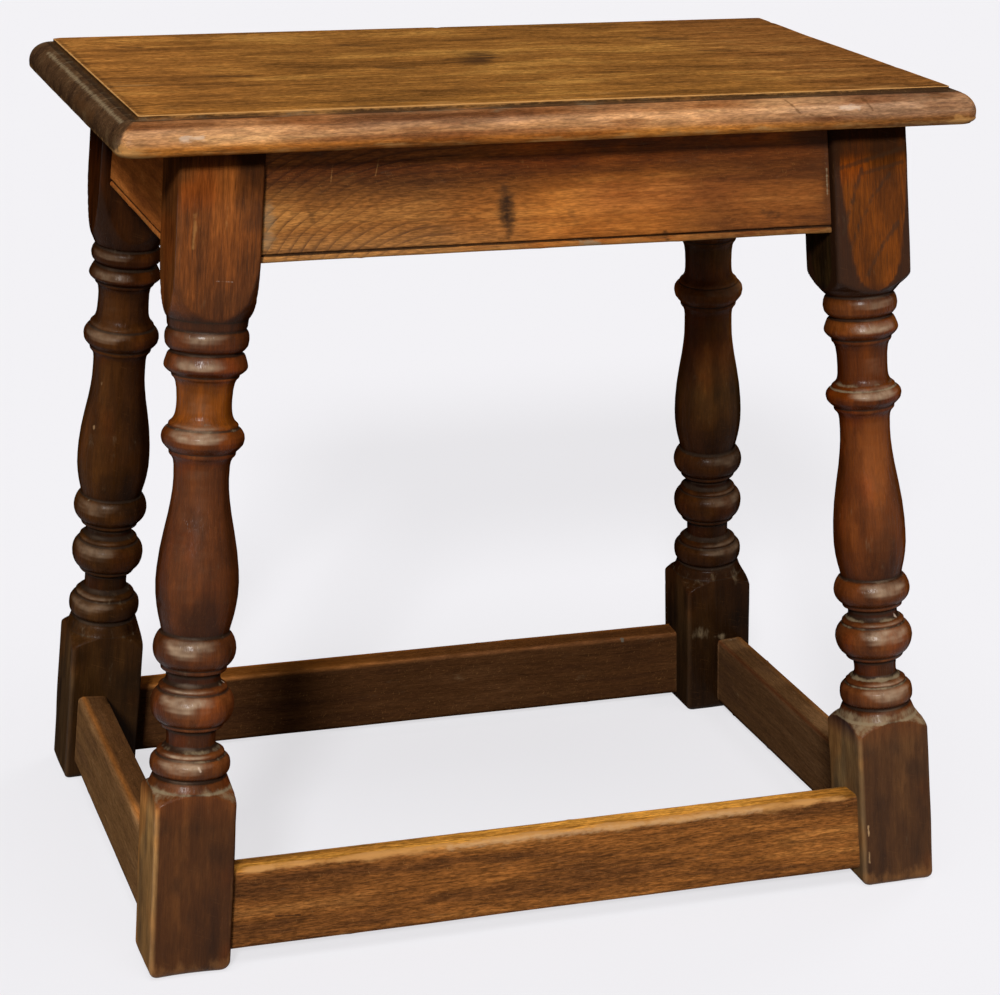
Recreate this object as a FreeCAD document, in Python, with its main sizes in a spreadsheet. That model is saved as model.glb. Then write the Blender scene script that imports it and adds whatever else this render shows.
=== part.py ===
import FreeCAD
import Part
import math
import os
import Sketcher
from FreeCAD import Placement, Rotation, Vector

# Joint stool in oak: a moulded top board on four splayed, turned legs, which are
# tied by a frieze rail on each side under the top and a low stretcher on each side.
# Origin on the floor under the middle of the top, +X along the top, front toward -Y.

doc = FreeCAD.newDocument("joint_stool")
sheet = doc.addObject("Spreadsheet::Sheet", "Sizes")

SIZES = {
    # Top board, and its edge moulding from the flat outwards and downwards.
    "top_length": 458.0,
    "top_depth": 282.0,
    "top_thickness": 19.0,
    "stool_height": 447.5,
    "corner_radius": 10.0,
    "moulding_reach": 13.0,
    "quirk_drop": 2.4,
    "quirk_ledge": 3.0,
    "ovolo_bulge": 2.6,
    "nose_flat": 1.8,
    "nose_rise": 3.4,
    "nose_reach": 3.0,
    "nose_bulge": 0.7,
    # Legs: how far the top reaches past their heads, and the splay in degrees.
    "overhang_long": 34.7,
    "overhang_deep": 18.6,
    "splay_long": 4.12,
    "splay_deep": 4.5,
    "leg_square": 43.0,
    "leg_edge_radius": 3.0,
    "foot_radius": 4.0,
    "lower_block": 98.0,
    "upper_block": 87.5,
    # Frieze rails.
    "frieze_height": 58.5,
    "frieze_thickness": 18.0,
    "frieze_haunch": 10.0,
    "bead_height": 3.4,
    "bead_quirk": 1.1,
    "bead_depth": 1.2,
    # Stretchers, each at the height above the floor that it was let in at.
    "stretcher_height": 43.8,
    "stretcher_thickness": 17.0,
    "stretcher_front_level": 9.5,
    "stretcher_back_level": 6.8,
    "stretcher_left_level": 11.2,
    "stretcher_right_level": 7.0,
    # Joints.
    "rail_inset": 5.5,
    "tenon_thickness": 8.0,
    "tenon_reach": 22.0,
    "tenon_shoulder": 3.0,
    "mortise_clearance": 0.1,
    # Screws that hold the top, each up a slanting pocket in a frieze rail.
    "screw_radius": 2.0,
    "screw_length": 27.0,
    "screw_tip": 3.0,
    "screw_seat": 13.0,
    "head_radius": 3.8,
    "head_height": 2.2,
    "slot_width": 0.9,
    "slot_depth": 1.0,
    "pocket_length": 30.0,
    "pocket_slant": 20.0,
    "screw_clearance": 0.1,
    # How far a cutting shape runs past what it cuts.
    "overrun": 2.0,
}

# The leg's head, the frieze's lower edge and the spread of the feet follow from these.
HEAD = "(Sizes.stool_height - Sizes.top_thickness)"
FRIEZE_BOTTOM = f"({HEAD} - Sizes.frieze_height)"
FOOT_SPREAD = {
    way: f"(Sizes.top_{reach} - 2 * Sizes.overhang_{way} - Sizes.leg_square"
         f" + 2 * {HEAD} * tan(Sizes.splay_{way}))"
    for way, reach in (("long", "length"), ("deep", "depth"))
}

SIDES = {"left": -1, "right": 1, "front": -1, "back": 1}

# Where the screws stand on a long and on a short rail, as shares of half its length.
LONG_SCREW_shares = (-0.6, 0.6)
SHORT_SCREW_shares = (0.0,)

# The turned outline, upwards from the lower block. Each row is a point and the arc to
# the next one: height as a share of the turning, radius as a share of half the square,
# and how far the arc swells (or hollows, below zero) as a share of half the square.
LOWER_TURNING_shares = (
    (-0.038, 1.450, 0.0),      # near flat shoulder of the lower block
    (-0.027, 1.150, -0.010),
    (-0.020, 1.030, -0.010),
    (-0.002, 0.940, 0.0),
    (0.014, 0.865, 0.102),     # bead on the block
    (0.079, 0.829, -0.056),
    (0.101, 0.588, -0.046),    # narrow waist
    (0.131, 0.767, 0.200),     # lower bead
    (0.219, 0.783, -0.031),
    (0.237, 0.624, -0.026),    # narrow waist
    (0.257, 0.773, 0.200),     # upper bead
    (0.331, 0.788, 0.0),
    (0.338, 0.819, 0.143),     # swell of the baluster
    (0.530, 0.854, 0.0),
    (0.585, 0.747, -0.046),    # neck of the baluster
)
# The collar stands a little off the common pattern on each leg, by this share of the
# turning's height.
COLLAR_LIFT_shares = {
    "leg_front_left": 0.008,
    "leg_front_right": -0.006,
    "leg_back_left": -0.012,
    "leg_back_right": 0.014,
}
COLLAR_shares = (
    (0.690, 0.665, -0.020),
    (0.714, 0.793, 0.179),     # collar
    (0.776, 0.783, -0.020),
    (0.794, 0.655, -0.033),    # upper neck
)
UPPER_TURNING_shares = (
    (0.860, 0.670, -0.012),
    (0.870, 0.788, 0.164),     # lower ring
    (0.914, 0.767, 0.0),
    (0.917, 0.788, 0.128),     # upper ring
    (0.959, 0.824, -0.010),
    (0.976, 0.860, -0.010),    # shoulder under the upper block
    (0.996, 1.025, 0.020),
    (1.012, 1.180, 0.030),
    (1.060, 1.310, 0.010),
    (1.170, 1.440, 0.0),
)


def fill_sheet():
    for row, (name, value) in enumerate(SIZES.items(), start=1):
        sheet.set(f"A{row}", name)
        sheet.set(f"B{row}", str(value))
        sheet.setAlias(f"B{row}", name)
    doc.recompute()


def size(name):
    return float(sheet.get(name))


def bind(obj, **formulas):
    """Ties properties of an object to the sheet."""
    for prop, formula in formulas.items():
        obj.setExpression(prop, formula)
    return obj


def cell(name):
    return f"Sizes.{name}"


# Bodies and sketches

def new_body(name):
    return doc.addObject("PartDesign::Body", name)


def new_sketch(body, name, plane):
    sketch = body.newObject("Sketcher::SketchObject", name)
    origin = [item for item in body.Origin.OriginFeatures if item.Role == plane]
    sketch.AttachmentSupport = [(origin[0], "")]
    sketch.MapMode = "FlatFace"
    return sketch


def sketch_rectangle(sketch, wide, high):
    """A rectangle centred on the sketch's origin, tied to two formulas."""
    x = size(wide) / 2
    y = size(high) / 2
    corners = [Vector(-x, -y, 0), Vector(x, -y, 0), Vector(x, y, 0), Vector(-x, y, 0)]
    for start, end in zip(corners, corners[1:] + corners[:1]):
        sketch.addGeometry(Part.LineSegment(start, end), False)
    for edge in range(4):
        sketch.addConstraint(Sketcher.Constraint("Coincident", edge, 2, (edge + 1) % 4, 1))
    for edge in (0, 2):
        sketch.addConstraint(Sketcher.Constraint("Horizontal", edge))
    for edge in (1, 3):
        sketch.addConstraint(Sketcher.Constraint("Vertical", edge))
    sketch.addConstraint(Sketcher.Constraint("Symmetric", 0, 1, 1, 2, -1, 1))
    width = sketch.addConstraint(Sketcher.Constraint("DistanceX", 0, 1, 0, 2, size(wide)))
    height = sketch.addConstraint(Sketcher.Constraint("DistanceY", 1, 1, 1, 2, size(high)))
    sketch.setExpression(f"Constraints[{width}]", cell(wide))
    sketch.setExpression(f"Constraints[{height}]", cell(high))


def sketch_outline(sketch, points):
    """A closed outline; each point carries the swell of the arc to the next one."""
    for (start, swell), (end, _) in zip(points, points[1:] + points[:1]):
        if swell == 0:
            sketch.addGeometry(Part.LineSegment(start, end), False)
            continue
        chord = end - start
        outwards = Vector(chord.y, -chord.x, 0).normalize()
        middle = (start + end) / 2 + outwards * swell
        sketch.addGeometry(Part.Arc(start, middle, end), False)


def angle(name):
    return math.radians(size(name))


def head():
    """Height of the underside of the top."""
    return size("stool_height") - size("top_thickness")


def frieze_bottom():
    return head() - size("frieze_height")


def foot_spread(way):
    """Distance between two leg axes on the floor."""
    board = size("top_length") if way == "long" else size("top_depth")
    heads = board - 2 * size(f"overhang_{way}") - size("leg_square")
    return heads + 2 * head() * math.tan(angle(f"splay_{way}"))


# Top board

def edge_waste(half):
    """What the moulding plane took off one long edge, seen along the edge."""
    top = size("stool_height")
    bottom = top - size("top_thickness")
    spare = size("overrun")
    arris = half - size("moulding_reach")
    ledge = arris + size("quirk_ledge")
    ledge_level = top - size("quirk_drop")
    nose = bottom + size("nose_rise")
    widest = nose + size("nose_flat")
    return [
        (Vector(arris, top + spare, 0), 0),
        (Vector(arris, ledge_level, 0), 0),
        (Vector(ledge, ledge_level, 0), -size("ovolo_bulge")),
        (Vector(half, widest, 0), 0),
        (Vector(half, nose, 0), -size("nose_bulge")),
        (Vector(half - size("nose_reach"), bottom, 0), 0),
        (Vector(half - size("nose_reach"), bottom - spare, 0), 0),
        (Vector(half + spare, bottom - spare, 0), 0),
        (Vector(half + spare, top + spare, 0), 0),
    ]


def mould_edges(body, name, plane, mirror_plane, half):
    """Cuts the moulding along one edge and mirrors it to the opposite edge."""
    sketch = new_sketch(body, f"{name}_outline", plane)
    sketch_outline(sketch, edge_waste(half))
    cut = body.newObject("PartDesign::Pocket", f"{name}_cut")
    cut.Profile = sketch
    cut.Type = "ThroughAll"
    cut.Midplane = True
    doc.recompute()
    mirror = body.newObject("PartDesign::Mirrored", f"{name}_opposite")
    mirror.Originals = [cut]
    planes = [item for item in body.Origin.OriginFeatures if item.Role == mirror_plane]
    mirror.MirrorPlane = (planes[0], [""])
    body.Tip = mirror
    doc.recompute()


def make_top():
    body = new_body("top_blank")
    sketch = new_sketch(body, "top_plan", "XY_Plane")
    sketch_rectangle(sketch, "top_length", "top_depth")
    bind(sketch, **{"AttachmentOffset.Base.z": HEAD})
    board = body.newObject("PartDesign::Pad", "top_board_pad")
    board.Profile = sketch
    bind(board, Length=cell("top_thickness"))
    doc.recompute()
    worn = body.newObject("PartDesign::Fillet", "worn_corners")
    worn.Base = (board, upright_edges(board.Shape))
    bind(worn, Radius=cell("corner_radius"))
    doc.recompute()
    mould_edges(body, "end_moulding", "XZ_Plane", "YZ_Plane", size("top_length") / 2)
    mould_edges(body, "side_moulding", "YZ_Plane", "XZ_Plane", size("top_depth") / 2)
    return body


# Legs

def leg_placement(end, side):
    """Stands a leg with its foot at a corner and its top leaning inwards."""
    x = SIDES[end] * foot_spread("long") / 2
    y = SIDES[side] * foot_spread("deep") / 2
    lean_x = Rotation(Vector(1, 0, 0), SIDES[side] * size("splay_deep"))
    lean_y = Rotation(Vector(0, 1, 0), -SIDES[end] * size("splay_long"))
    return Placement(Vector(x, y, 0), lean_x * lean_y)


def turning_waste(leg):
    """What the lathe took off a square leg, as an outline beside the leg's axis."""
    half = size("leg_square") / 2
    start = size("lower_block")
    lean = math.hypot(math.tan(angle("splay_long")), math.tan(angle("splay_deep")))
    length = head() * math.hypot(1, lean) - start - size("upper_block")
    outline = []
    collar = [(height + COLLAR_LIFT_shares[leg], radius, swell) for height, radius, swell in COLLAR_shares]
    for height, radius, swell in (*LOWER_TURNING_shares, *collar, *UPPER_TURNING_shares):
        outline.append((Vector(half * radius, start + length * height, 0), half * swell))
    outside = size("leg_square")
    last, _ = outline[-1]
    first, _ = outline[0]
    outline.append((Vector(outside, last.y, 0), 0))
    outline.append((Vector(outside, first.y, 0), 0))
    return outline


def turn_leg(name, placement):
    body = new_body(f"{name}_turned")
    section = new_sketch(body, f"{name}_section", "XY_Plane")
    sketch_rectangle(section, "leg_square", "leg_square")
    bind(section, **{"AttachmentOffset.Base.z": "-Sizes.leg_square"})
    square = body.newObject("PartDesign::Pad", f"{name}_square")
    square.Profile = section
    bind(square, Length="Sizes.stool_height + 2 * Sizes.leg_square")
    doc.recompute()
    rounded = body.newObject("PartDesign::Fillet", f"{name}_worn_edges")
    rounded.Base = (square, upright_edges(square.Shape))
    bind(rounded, Radius=cell("leg_edge_radius"))
    doc.recompute()
    outline = new_sketch(body, f"{name}_outline", "XZ_Plane")
    sketch_outline(outline, turning_waste(name))
    turned = body.newObject("PartDesign::Groove", f"{name}_turning")
    turned.Profile = outline
    turned.ReferenceAxis = (outline, ["V_Axis"])
    turned.Angle = 360
    body.Tip = turned
    body.Placement = placement
    doc.recompute()
    return body


def upright_edges(shape):
    """Names of the straight edges that run along Z."""
    names = []
    for index, edge in enumerate(shape.Edges, start=1):
        low, high = edge.Vertexes[0].Point, edge.Vertexes[-1].Point
        if abs(low.x - high.x) + abs(low.y - high.y) < edge.Length / 2:
            names.append(f"Edge{index}")
    return names


def floor_edges(shape):
    """Numbers of the edges that lie on the floor."""
    level = shape.BoundBox.ZMin
    near = size("foot_radius") / 2
    return [index for index, edge in enumerate(shape.Edges, start=1) if edge.BoundBox.ZMax < level + near]


def square_leg(name, placement):
    """The leg before turning, which shapes the rails' shoulders."""
    billet = doc.addObject("Part::Box", f"{name}_billet")
    bind(billet, Length=cell("leg_square"), Width=cell("leg_square"))
    bind(billet, Height="Sizes.stool_height + Sizes.leg_square")
    half = size("leg_square") / 2
    billet.Placement = placement * Placement(Vector(-half, -half, -half), Rotation())
    return billet


def trim_leg(name, turned, room):
    """Cuts the leg level at the floor and under the top, and rounds its foot."""
    level = doc.addObject("Part::Common", f"{name}_level")
    level.Base = turned
    level.Tool = room
    doc.recompute()
    worn = doc.addObject("Part::Fillet", f"{name}_worn_foot")
    worn.Base = level
    radius = size("foot_radius")
    worn.Edges = [(index, radius, radius) for index in floor_edges(level.Shape)]
    doc.recompute()
    return worn


# Rails

RAIL_TURNS = {"front": 0, "right": 90, "back": 180, "left": 270}


def spread(side):
    return "long" if side in ("left", "right") else "deep"


def across(side):
    return "deep" if spread(side) == "long" else "long"


def rail_placement(side, level):
    """Local X along the rail, Y inwards and Z up the leaning outer faces of the legs."""
    way = spread(side)
    lean = angle(f"splay_{way}")
    flush = size("leg_square") / 2 - size("rail_inset")
    out = foot_spread(way) / 2 - level * math.tan(lean) + flush / math.cos(lean)
    turn = Rotation(Vector(0, 0, 1), RAIL_TURNS[side])
    tilt = Rotation(Vector(1, 0, 0), -size(f"splay_{way}"))
    return Placement(turn.multVec(Vector(0, -out, level)), turn * tilt)


def axis_gap(side, level):
    """Formula for the distance between the axes of the two legs that a rail joins."""
    way = across(side)
    return f"({FOOT_SPREAD[way]} - 2 * ({level}) * tan(Sizes.splay_{way}))"


def block(name, placement, corner, **formulas):
    """A box whose corner is given in the frame of its rail."""
    box = doc.addObject("Part::Box", name)
    bind(box, **formulas)
    doc.recompute()
    along = Vector(-box.Length.Value / 2, 0, 0)
    box.Placement = placement * Placement(corner + along, Rotation())
    return box


def tenon_bar(name, rail, spare):
    """The two tenons of a rail as one bar, or its mortises where spare is a clearance."""
    tall = f"({rail['height']} - {rail['haunch']} - Sizes.tenon_shoulder)"
    middle = f"({rail['level']} + Sizes.tenon_shoulder + {tall} / 2)"
    faces = f"Sizes.leg_square / cos(Sizes.splay_{across(rail['side'])})"
    length = f"{axis_gap(rail['side'], middle)} - {faces} + 2 * Sizes.tenon_reach"
    gap = 0
    if spare:
        gap = size(spare)
        grow = f" + 2 * {cell(spare)}"
    else:
        grow = ""
    inward = (rail["thick"] - size("tenon_thickness")) / 2
    corner = Vector(0, inward - gap, size("tenon_shoulder") - gap)
    return block(name, rail["place"], corner, Length=length + grow,
                 Width=cell("tenon_thickness") + grow, Height=tall + grow)


def describe_rail(side, level, bottom, height, thickness, haunch):
    """What a rail's board, tenons and mortises share: formulas, and its place."""
    return {
        "side": side,
        "level": level,
        "height": height,
        "thick": size(thickness),
        "width": cell(thickness),
        "haunch": haunch,
        "place": rail_placement(side, bottom),
    }


def cut(name, base, tool):
    result = doc.addObject("Part::Cut", name)
    result.Base = base
    result.Tool = tool
    return result


def group(name, items):
    result = doc.addObject("Part::Compound", name)
    result.Links = items
    return result


def shouldered_board(name, rail, billets, height):
    """A board cut off against the inner faces of its two legs."""
    board = block(f"{name}_board", rail["place"], Vector(0, 0, 0), Width=rail["width"],
                  Length=axis_gap(rail["side"], rail["level"]), Height=height)
    ends = group(f"{name}_shoulders", billets)
    return cut(f"{name}_fitted", board, ends)


def join_tenons(name, rail, board):
    joined = doc.addObject("Part::Fuse", f"{name}_tenoned")
    joined.Base = board
    joined.Tool = tenon_bar(f"{name}_tenons", rail, None)
    return joined


def make_stretcher(side, billets):
    name = f"stretcher_{side}"
    level = f"{name}_level"
    rail = describe_rail(side, cell(level), size(level), cell("stretcher_height"),
                         "stretcher_thickness", cell("tenon_shoulder"))
    board = shouldered_board(name, rail, billets, rail["height"])
    mortise = tenon_bar(f"{name}_mortises", rail, "mortise_clearance")
    return join_tenons(name, rail, board), mortise


def frieze_height(side):
    """Height of a frieze rail up its own leaning face, as a formula."""
    return f"Sizes.frieze_height / cos(Sizes.splay_{spread(side)})"


def bead_groove(name, rail):
    """The quirk scratched along the rail, which leaves a bead on its lower edge."""
    corner = Vector(0, -size("overrun"), size("bead_height"))
    return block(f"{name}_quirk", rail["place"], corner, Height=cell("bead_quirk"),
                 Length=axis_gap(rail["side"], rail["level"]), Width="Sizes.overrun + Sizes.bead_depth")


def make_frieze(side, billets, room):
    name = f"frieze_rail_{side}"
    rail = describe_rail(side, FRIEZE_BOTTOM, frieze_bottom(), frieze_height(side),
                         "frieze_thickness", cell("frieze_haunch"))
    tall = f"{rail['height']} + Sizes.overrun"
    board = shouldered_board(name, rail, billets, tall)
    beaded = cut(f"{name}_beaded", board, bead_groove(name, rail))
    level = doc.addObject("Part::Common", f"{name}_level")
    level.Base = beaded
    level.Tool = room
    mortise = tenon_bar(f"{name}_mortises", rail, "mortise_clearance")
    screws = place_screws(name, rail)
    holes = [screw_bore(f"{name}_bore", spot) for spot in screws]
    holes += [screw_pocket(f"{name}_pocket", spot) for spot in screws]
    joined = join_tenons(name, rail, level)
    return cut(f"{name}_bored", joined, group(f"{name}_holes", holes)), mortise, screws


# Screws under the top. Each stands head down in its own frame, with its seat at zero.

def place_screws(name, rail):
    shares = LONG_SCREW_shares if across(rail["side"]) == "long" else SHORT_SCREW_shares
    half = foot_spread(across(rail["side"])) / 2
    top = size("frieze_height") / math.cos(angle(f"splay_{spread(rail['side'])}"))
    slant = Rotation(Vector(1, 0, 0), size("pocket_slant"))
    seat = slant.multVec(Vector(0, 0, -size("screw_seat")))
    spots = []
    for share in shares:
        mouth = Vector(half * share, size("frieze_thickness") / 2, top)
        spots.append(rail["place"] * Placement(mouth + seat, slant))
    return spots


def cylinder(name, place, base, **formulas):
    shape = doc.addObject("Part::Cylinder", name)
    bind(shape, **formulas)
    shape.Placement = place * Placement(Vector(0, 0, base), Rotation())
    return shape


def screw_bore(name, place):
    return cylinder(name, place, 0, Radius="Sizes.screw_radius + Sizes.screw_clearance",
                    Height="Sizes.screw_length + Sizes.screw_clearance")


def screw_pocket(name, place):
    return cylinder(name, place, -size("pocket_length"), Height=cell("pocket_length"),
                    Radius="Sizes.head_radius + Sizes.screw_clearance")


def make_screw(name, place):
    head = cylinder(f"{name}_head", place, -size("head_height"), Radius=cell("head_radius"),
                    Height=cell("head_height"))
    shank = cylinder(f"{name}_shank", place, 0, Radius=cell("screw_radius"),
                     Height="Sizes.screw_length - Sizes.screw_tip")
    tip = doc.addObject("Part::Cone", f"{name}_tip")
    bind(tip, Radius1=cell("screw_radius"), Radius2="Sizes.screw_radius / 4", Height=cell("screw_tip"))
    tip.Placement = place * Placement(Vector(0, 0, size("screw_length") - size("screw_tip")), Rotation())
    solid = doc.addObject("Part::MultiFuse", f"{name}_blank")
    solid.Shapes = [head, shank, tip]
    slot = doc.addObject("Part::Box", f"{name}_slot")
    bind(slot, Length="2 * Sizes.head_radius + Sizes.overrun", Width=cell("slot_width"),
         Height="Sizes.slot_depth + Sizes.overrun")
    doc.recompute()
    corner = Vector(-slot.Length.Value / 2, -slot.Width.Value / 2,
                    size("slot_depth") - size("head_height") - slot.Height.Value)
    slot.Placement = place * Placement(corner, Rotation())
    return cut(name, solid, slot)


# Assembly

def make_room():
    """The space from the floor to the underside of the top, past the spread of the feet."""
    room = doc.addObject("Part::Box", "room_under_top")
    bind(room, Length=FOOT_SPREAD["long"] + " + 2 * Sizes.leg_square",
         Width=FOOT_SPREAD["deep"] + " + 2 * Sizes.leg_square", Height=HEAD)
    doc.recompute()
    room.Placement = Placement(Vector(-room.Length.Value / 2, -room.Width.Value / 2, 0), Rotation())
    return room


def legs_beside(side, billets):
    """The two legs that a rail on this side joins."""
    return [billet for corner, billet in billets.items() if side in corner]


def build():
    fill_sheet()
    room = make_room()
    corners = [(side, end) for side in ("front", "back") for end in ("left", "right")]
    places = {corner: leg_placement(corner[1], corner[0]) for corner in corners}
    billets = {corner: square_leg("leg_" + "_".join(corner), places[corner]) for corner in corners}
    nodes = {}
    mortises = {}
    screws = []
    for side in SIDES:
        beside = legs_beside(side, billets)
        frieze, frieze_mortise, spots = make_frieze(side, beside, room)
        stretcher, stretcher_mortise = make_stretcher(side, beside)
        nodes[f"frieze_rail_{side}"] = frieze
        nodes[f"stretcher_{side}"] = stretcher
        mortises[side] = [frieze_mortise, stretcher_mortise]
        screws += spots
    for corner in corners:
        name = "leg_" + "_".join(corner)
        leg = trim_leg(name, turn_leg(name, places[corner]), room)
        holes = group(f"{name}_mortises", mortises[corner[0]] + mortises[corner[1]])
        nodes[name] = cut(f"{name}_mortised", leg, holes)
    pilots = group("top_pilot_holes", [screw_bore("top_pilot", spot) for spot in screws])
    nodes["top_board"] = cut("top_bored", make_top(), pilots)
    made = [make_screw(f"top_screw_{number}", spot) for number, spot in enumerate(screws, start=1)]
    nodes["top_screws"] = group("top_screw_set", made)
    doc.recompute()
    return nodes


def check(nodes):
    for item in doc.Objects:
        if "Invalid" in item.State or "Error" in item.State:
            raise RuntimeError(f"{item.Name} failed: {item.State}")
    for name, node in nodes.items():
        if node.Shape.isNull() or not node.Shape.isValid():
            raise RuntimeError(f"{name} has no valid shape")


def export(nodes):
    os.makedirs("parts", exist_ok=True)
    for name, node in nodes.items():
        node.Label = name
        node.Shape.exportStep(f"parts/{name}.step")
        print(name, len(node.Shape.Solids), round(node.Shape.Volume))


pieces = build()
check(pieces)
export(pieces)
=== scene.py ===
"""Joint stool in old oak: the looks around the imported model. Lengths are in metres."""

import math

import bpy
import numpy as np
from mathutils import Matrix, Vector


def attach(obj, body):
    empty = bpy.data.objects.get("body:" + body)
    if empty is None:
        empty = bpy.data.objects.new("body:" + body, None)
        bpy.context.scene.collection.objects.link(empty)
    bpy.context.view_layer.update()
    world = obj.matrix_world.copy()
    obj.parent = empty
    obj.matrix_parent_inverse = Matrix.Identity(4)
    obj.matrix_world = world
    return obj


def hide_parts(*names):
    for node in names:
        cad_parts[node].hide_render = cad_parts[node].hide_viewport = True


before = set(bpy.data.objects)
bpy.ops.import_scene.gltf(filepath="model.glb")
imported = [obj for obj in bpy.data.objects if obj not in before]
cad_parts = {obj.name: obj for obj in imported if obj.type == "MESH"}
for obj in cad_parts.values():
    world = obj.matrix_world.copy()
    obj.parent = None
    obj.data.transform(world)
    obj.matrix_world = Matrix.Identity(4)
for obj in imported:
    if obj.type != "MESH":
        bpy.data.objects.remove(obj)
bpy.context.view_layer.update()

MM = 0.001

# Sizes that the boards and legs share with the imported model.
TOP_LENGTH = 458 * MM
TOP_DEPTH = 282 * MM
TOP_THICKNESS = 19 * MM
STOOL_HEIGHT = 447.5 * MM
HEAD = STOOL_HEIGHT - TOP_THICKNESS
SPLAY = {"long": math.radians(4.12), "deep": math.radians(4.5)}
OVERHANG = {"long": 34.7 * MM, "deep": 18.6 * MM}
LEG_SQUARE = 43 * MM
LEG_EDGE_RADIUS = 2.2 * MM
LATHE_BLEND = 0.5 * MM
FOOT_RADIUS = 4 * MM
FRIEZE_HEIGHT = 58.5 * MM
FRIEZE_THICKNESS = 18 * MM
BEAD_HEIGHT = 3.4 * MM
BEAD_QUIRK = 1.1 * MM
BEAD_DEPTH = 1.2 * MM
STRETCHER_HEIGHT = 43.8 * MM
STRETCHER_THICKNESS = 17 * MM
STRETCHER_LEVEL = {"front": 9.5 * MM, "back": 6.8 * MM, "left": 11.2 * MM, "right": 7.0 * MM}
RAIL_INSET = 5.5 * MM

SIGN = {"left": -1, "right": 1, "front": -1, "back": 1}
RAIL_TURN = {"front": 0, "right": 90, "back": 180, "left": 270}


def foot_spread(way):
    """Distance between two leg axes on the floor."""
    board = TOP_LENGTH if way == "long" else TOP_DEPTH
    return board - 2 * OVERHANG[way] - LEG_SQUARE + 2 * HEAD * math.tan(SPLAY[way])


# The photograph's way, level, from the floor's middle to the camera.
FACING = np.array((-0.31, -0.95, 0))


# Noise and shaping

LATTICE = np.random.default_rng(11).random((32, 32, 32))


def noise(points, scale, seed=0):
    """Smooth noise from -1 to 1; scale is the size of its lumps, one number or one per axis."""
    spot = np.asarray(points) / np.asarray(scale) + seed * 7.31
    cell = np.floor(spot).astype(int)
    part = spot - cell
    part = part * part * (3 - 2 * part)
    total = 0
    for corner in range(8):
        step = np.array([corner >> 2 & 1, corner >> 1 & 1, corner & 1])
        weight = np.where(step, part, 1 - part).prod(-1)
        index = (cell + step) % 32
        total = total + weight * LATTICE[index[..., 0], index[..., 1], index[..., 2]]
    return total * 2 - 1


def smooth(low, high, value):
    """0 below low, 1 above high, smooth between."""
    part = np.clip((value - low) / (high - low), 0, 1)
    return part * part * (3 - 2 * part)


def blob(points, centre, size):
    """A soft spot, from 1 at its centre to 0 at its size from there."""
    away = (points - np.array(centre)) / np.array(size)
    return np.clip(1 - (away ** 2).sum(-1), 0, 1) ** 1.5


def blur(values, width):
    """Runs a bell curve of this width, in samples, along an array."""
    reach = int(3 * width) + 1
    bell = np.exp(-0.5 * (np.arange(-reach, reach + 1) / width) ** 2)
    padded = np.pad(values, reach, mode="edge")
    return np.convolve(padded, bell / bell.sum(), mode="valid")


# Meshes

def grid_faces(rows, columns, closed):
    """Quads between the points of a grid, numbered row by row."""
    index = np.arange(rows * columns).reshape(rows, columns)
    if closed:
        index = np.concatenate([index, index[:, :1]], axis=1)
    quads = np.stack([index[:-1, :-1], index[:-1, 1:], index[1:, 1:], index[1:, :-1]], axis=-1)
    return quads.reshape(-1, 4).tolist()


def tube_faces(rows, columns, outwards):
    """Quads round a tube and a face on each end of it; outwards is the way its rows run."""
    first = list(range(columns))
    last = [(rows - 1) * columns + number for number in first]
    ends = [first[::-1], last] if outwards else [first, last[::-1]]
    return grid_faces(rows, columns, True) + ends


def link(name, data):
    """Puts an object with this data in the scene."""
    thing = bpy.data.objects.new(name, data)
    bpy.context.scene.collection.objects.link(thing)
    return thing


def new_piece(name, points, faces):
    mesh = bpy.data.meshes.new(name)
    mesh.from_pydata(points.reshape(-1, 3).tolist(), [], faces)
    mesh.update()
    mesh.shade_smooth()
    return link(name, mesh)


def read(items, field):
    """Three numbers for each item of a mesh."""
    values = np.zeros(len(items) * 3, np.float32)
    items.foreach_get(field, values)
    return values.reshape(-1, 3).astype(float)


def read_normals(piece):
    return read(piece.data.vertex_normals, "vector")


def write_points(piece, points):
    piece.data.vertices.foreach_set("co", points.ravel())
    piece.data.update()


def push_out(piece, points, push):
    """Moves the points of a piece along its normals."""
    write_points(piece, points + read_normals(piece) * push[:, None])


def carry(place, points):
    """Carries points from a piece's own frame to the stool's."""
    return points @ np.array(place.to_3x3()).T + np.array(place.translation)


def paint(piece, **fields):
    """Keeps numbers per point, which the material reads by their field's name."""
    for field, values in fields.items():
        layer = piece.data.attributes.new(field, "FLOAT", "POINT")
        layer.data.foreach_set("value", np.full(len(piece.data.vertices), np.ravel(values), np.float32))


def washes(*steps):
    """A tint, which may hold painted light and shade as well as tone: each step's colour factor counts in full where
    its share is 1, and less where that is smaller.
    """
    tint_and_painted_light = 1.0
    for share, factor in steps:
        tint_and_painted_light = tint_and_painted_light * (1 + np.asarray(share, float)[:, None] * (np.array(factor) - 1))
    return tint_and_painted_light


def paint_tint_and_painted_light(piece, tint_and_painted_light, polish):
    """Keeps the tint, with any painted light and shade in it, and the share of the wax polish left on faces that turn
    to the front or the back.
    """
    layer = piece.data.attributes.new("tint_and_painted_light", "FLOAT_VECTOR", "POINT")
    layer.data.foreach_set("vector", np.asarray(tint_and_painted_light, np.float32).ravel())
    facing = np.abs(read_normals(piece) @ FACING)
    paint(piece, polish=smooth(0.45, 0.92, facing) * polish)


def stand_for(piece, node):
    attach(piece, "root")
    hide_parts(node)


# Legs

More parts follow.
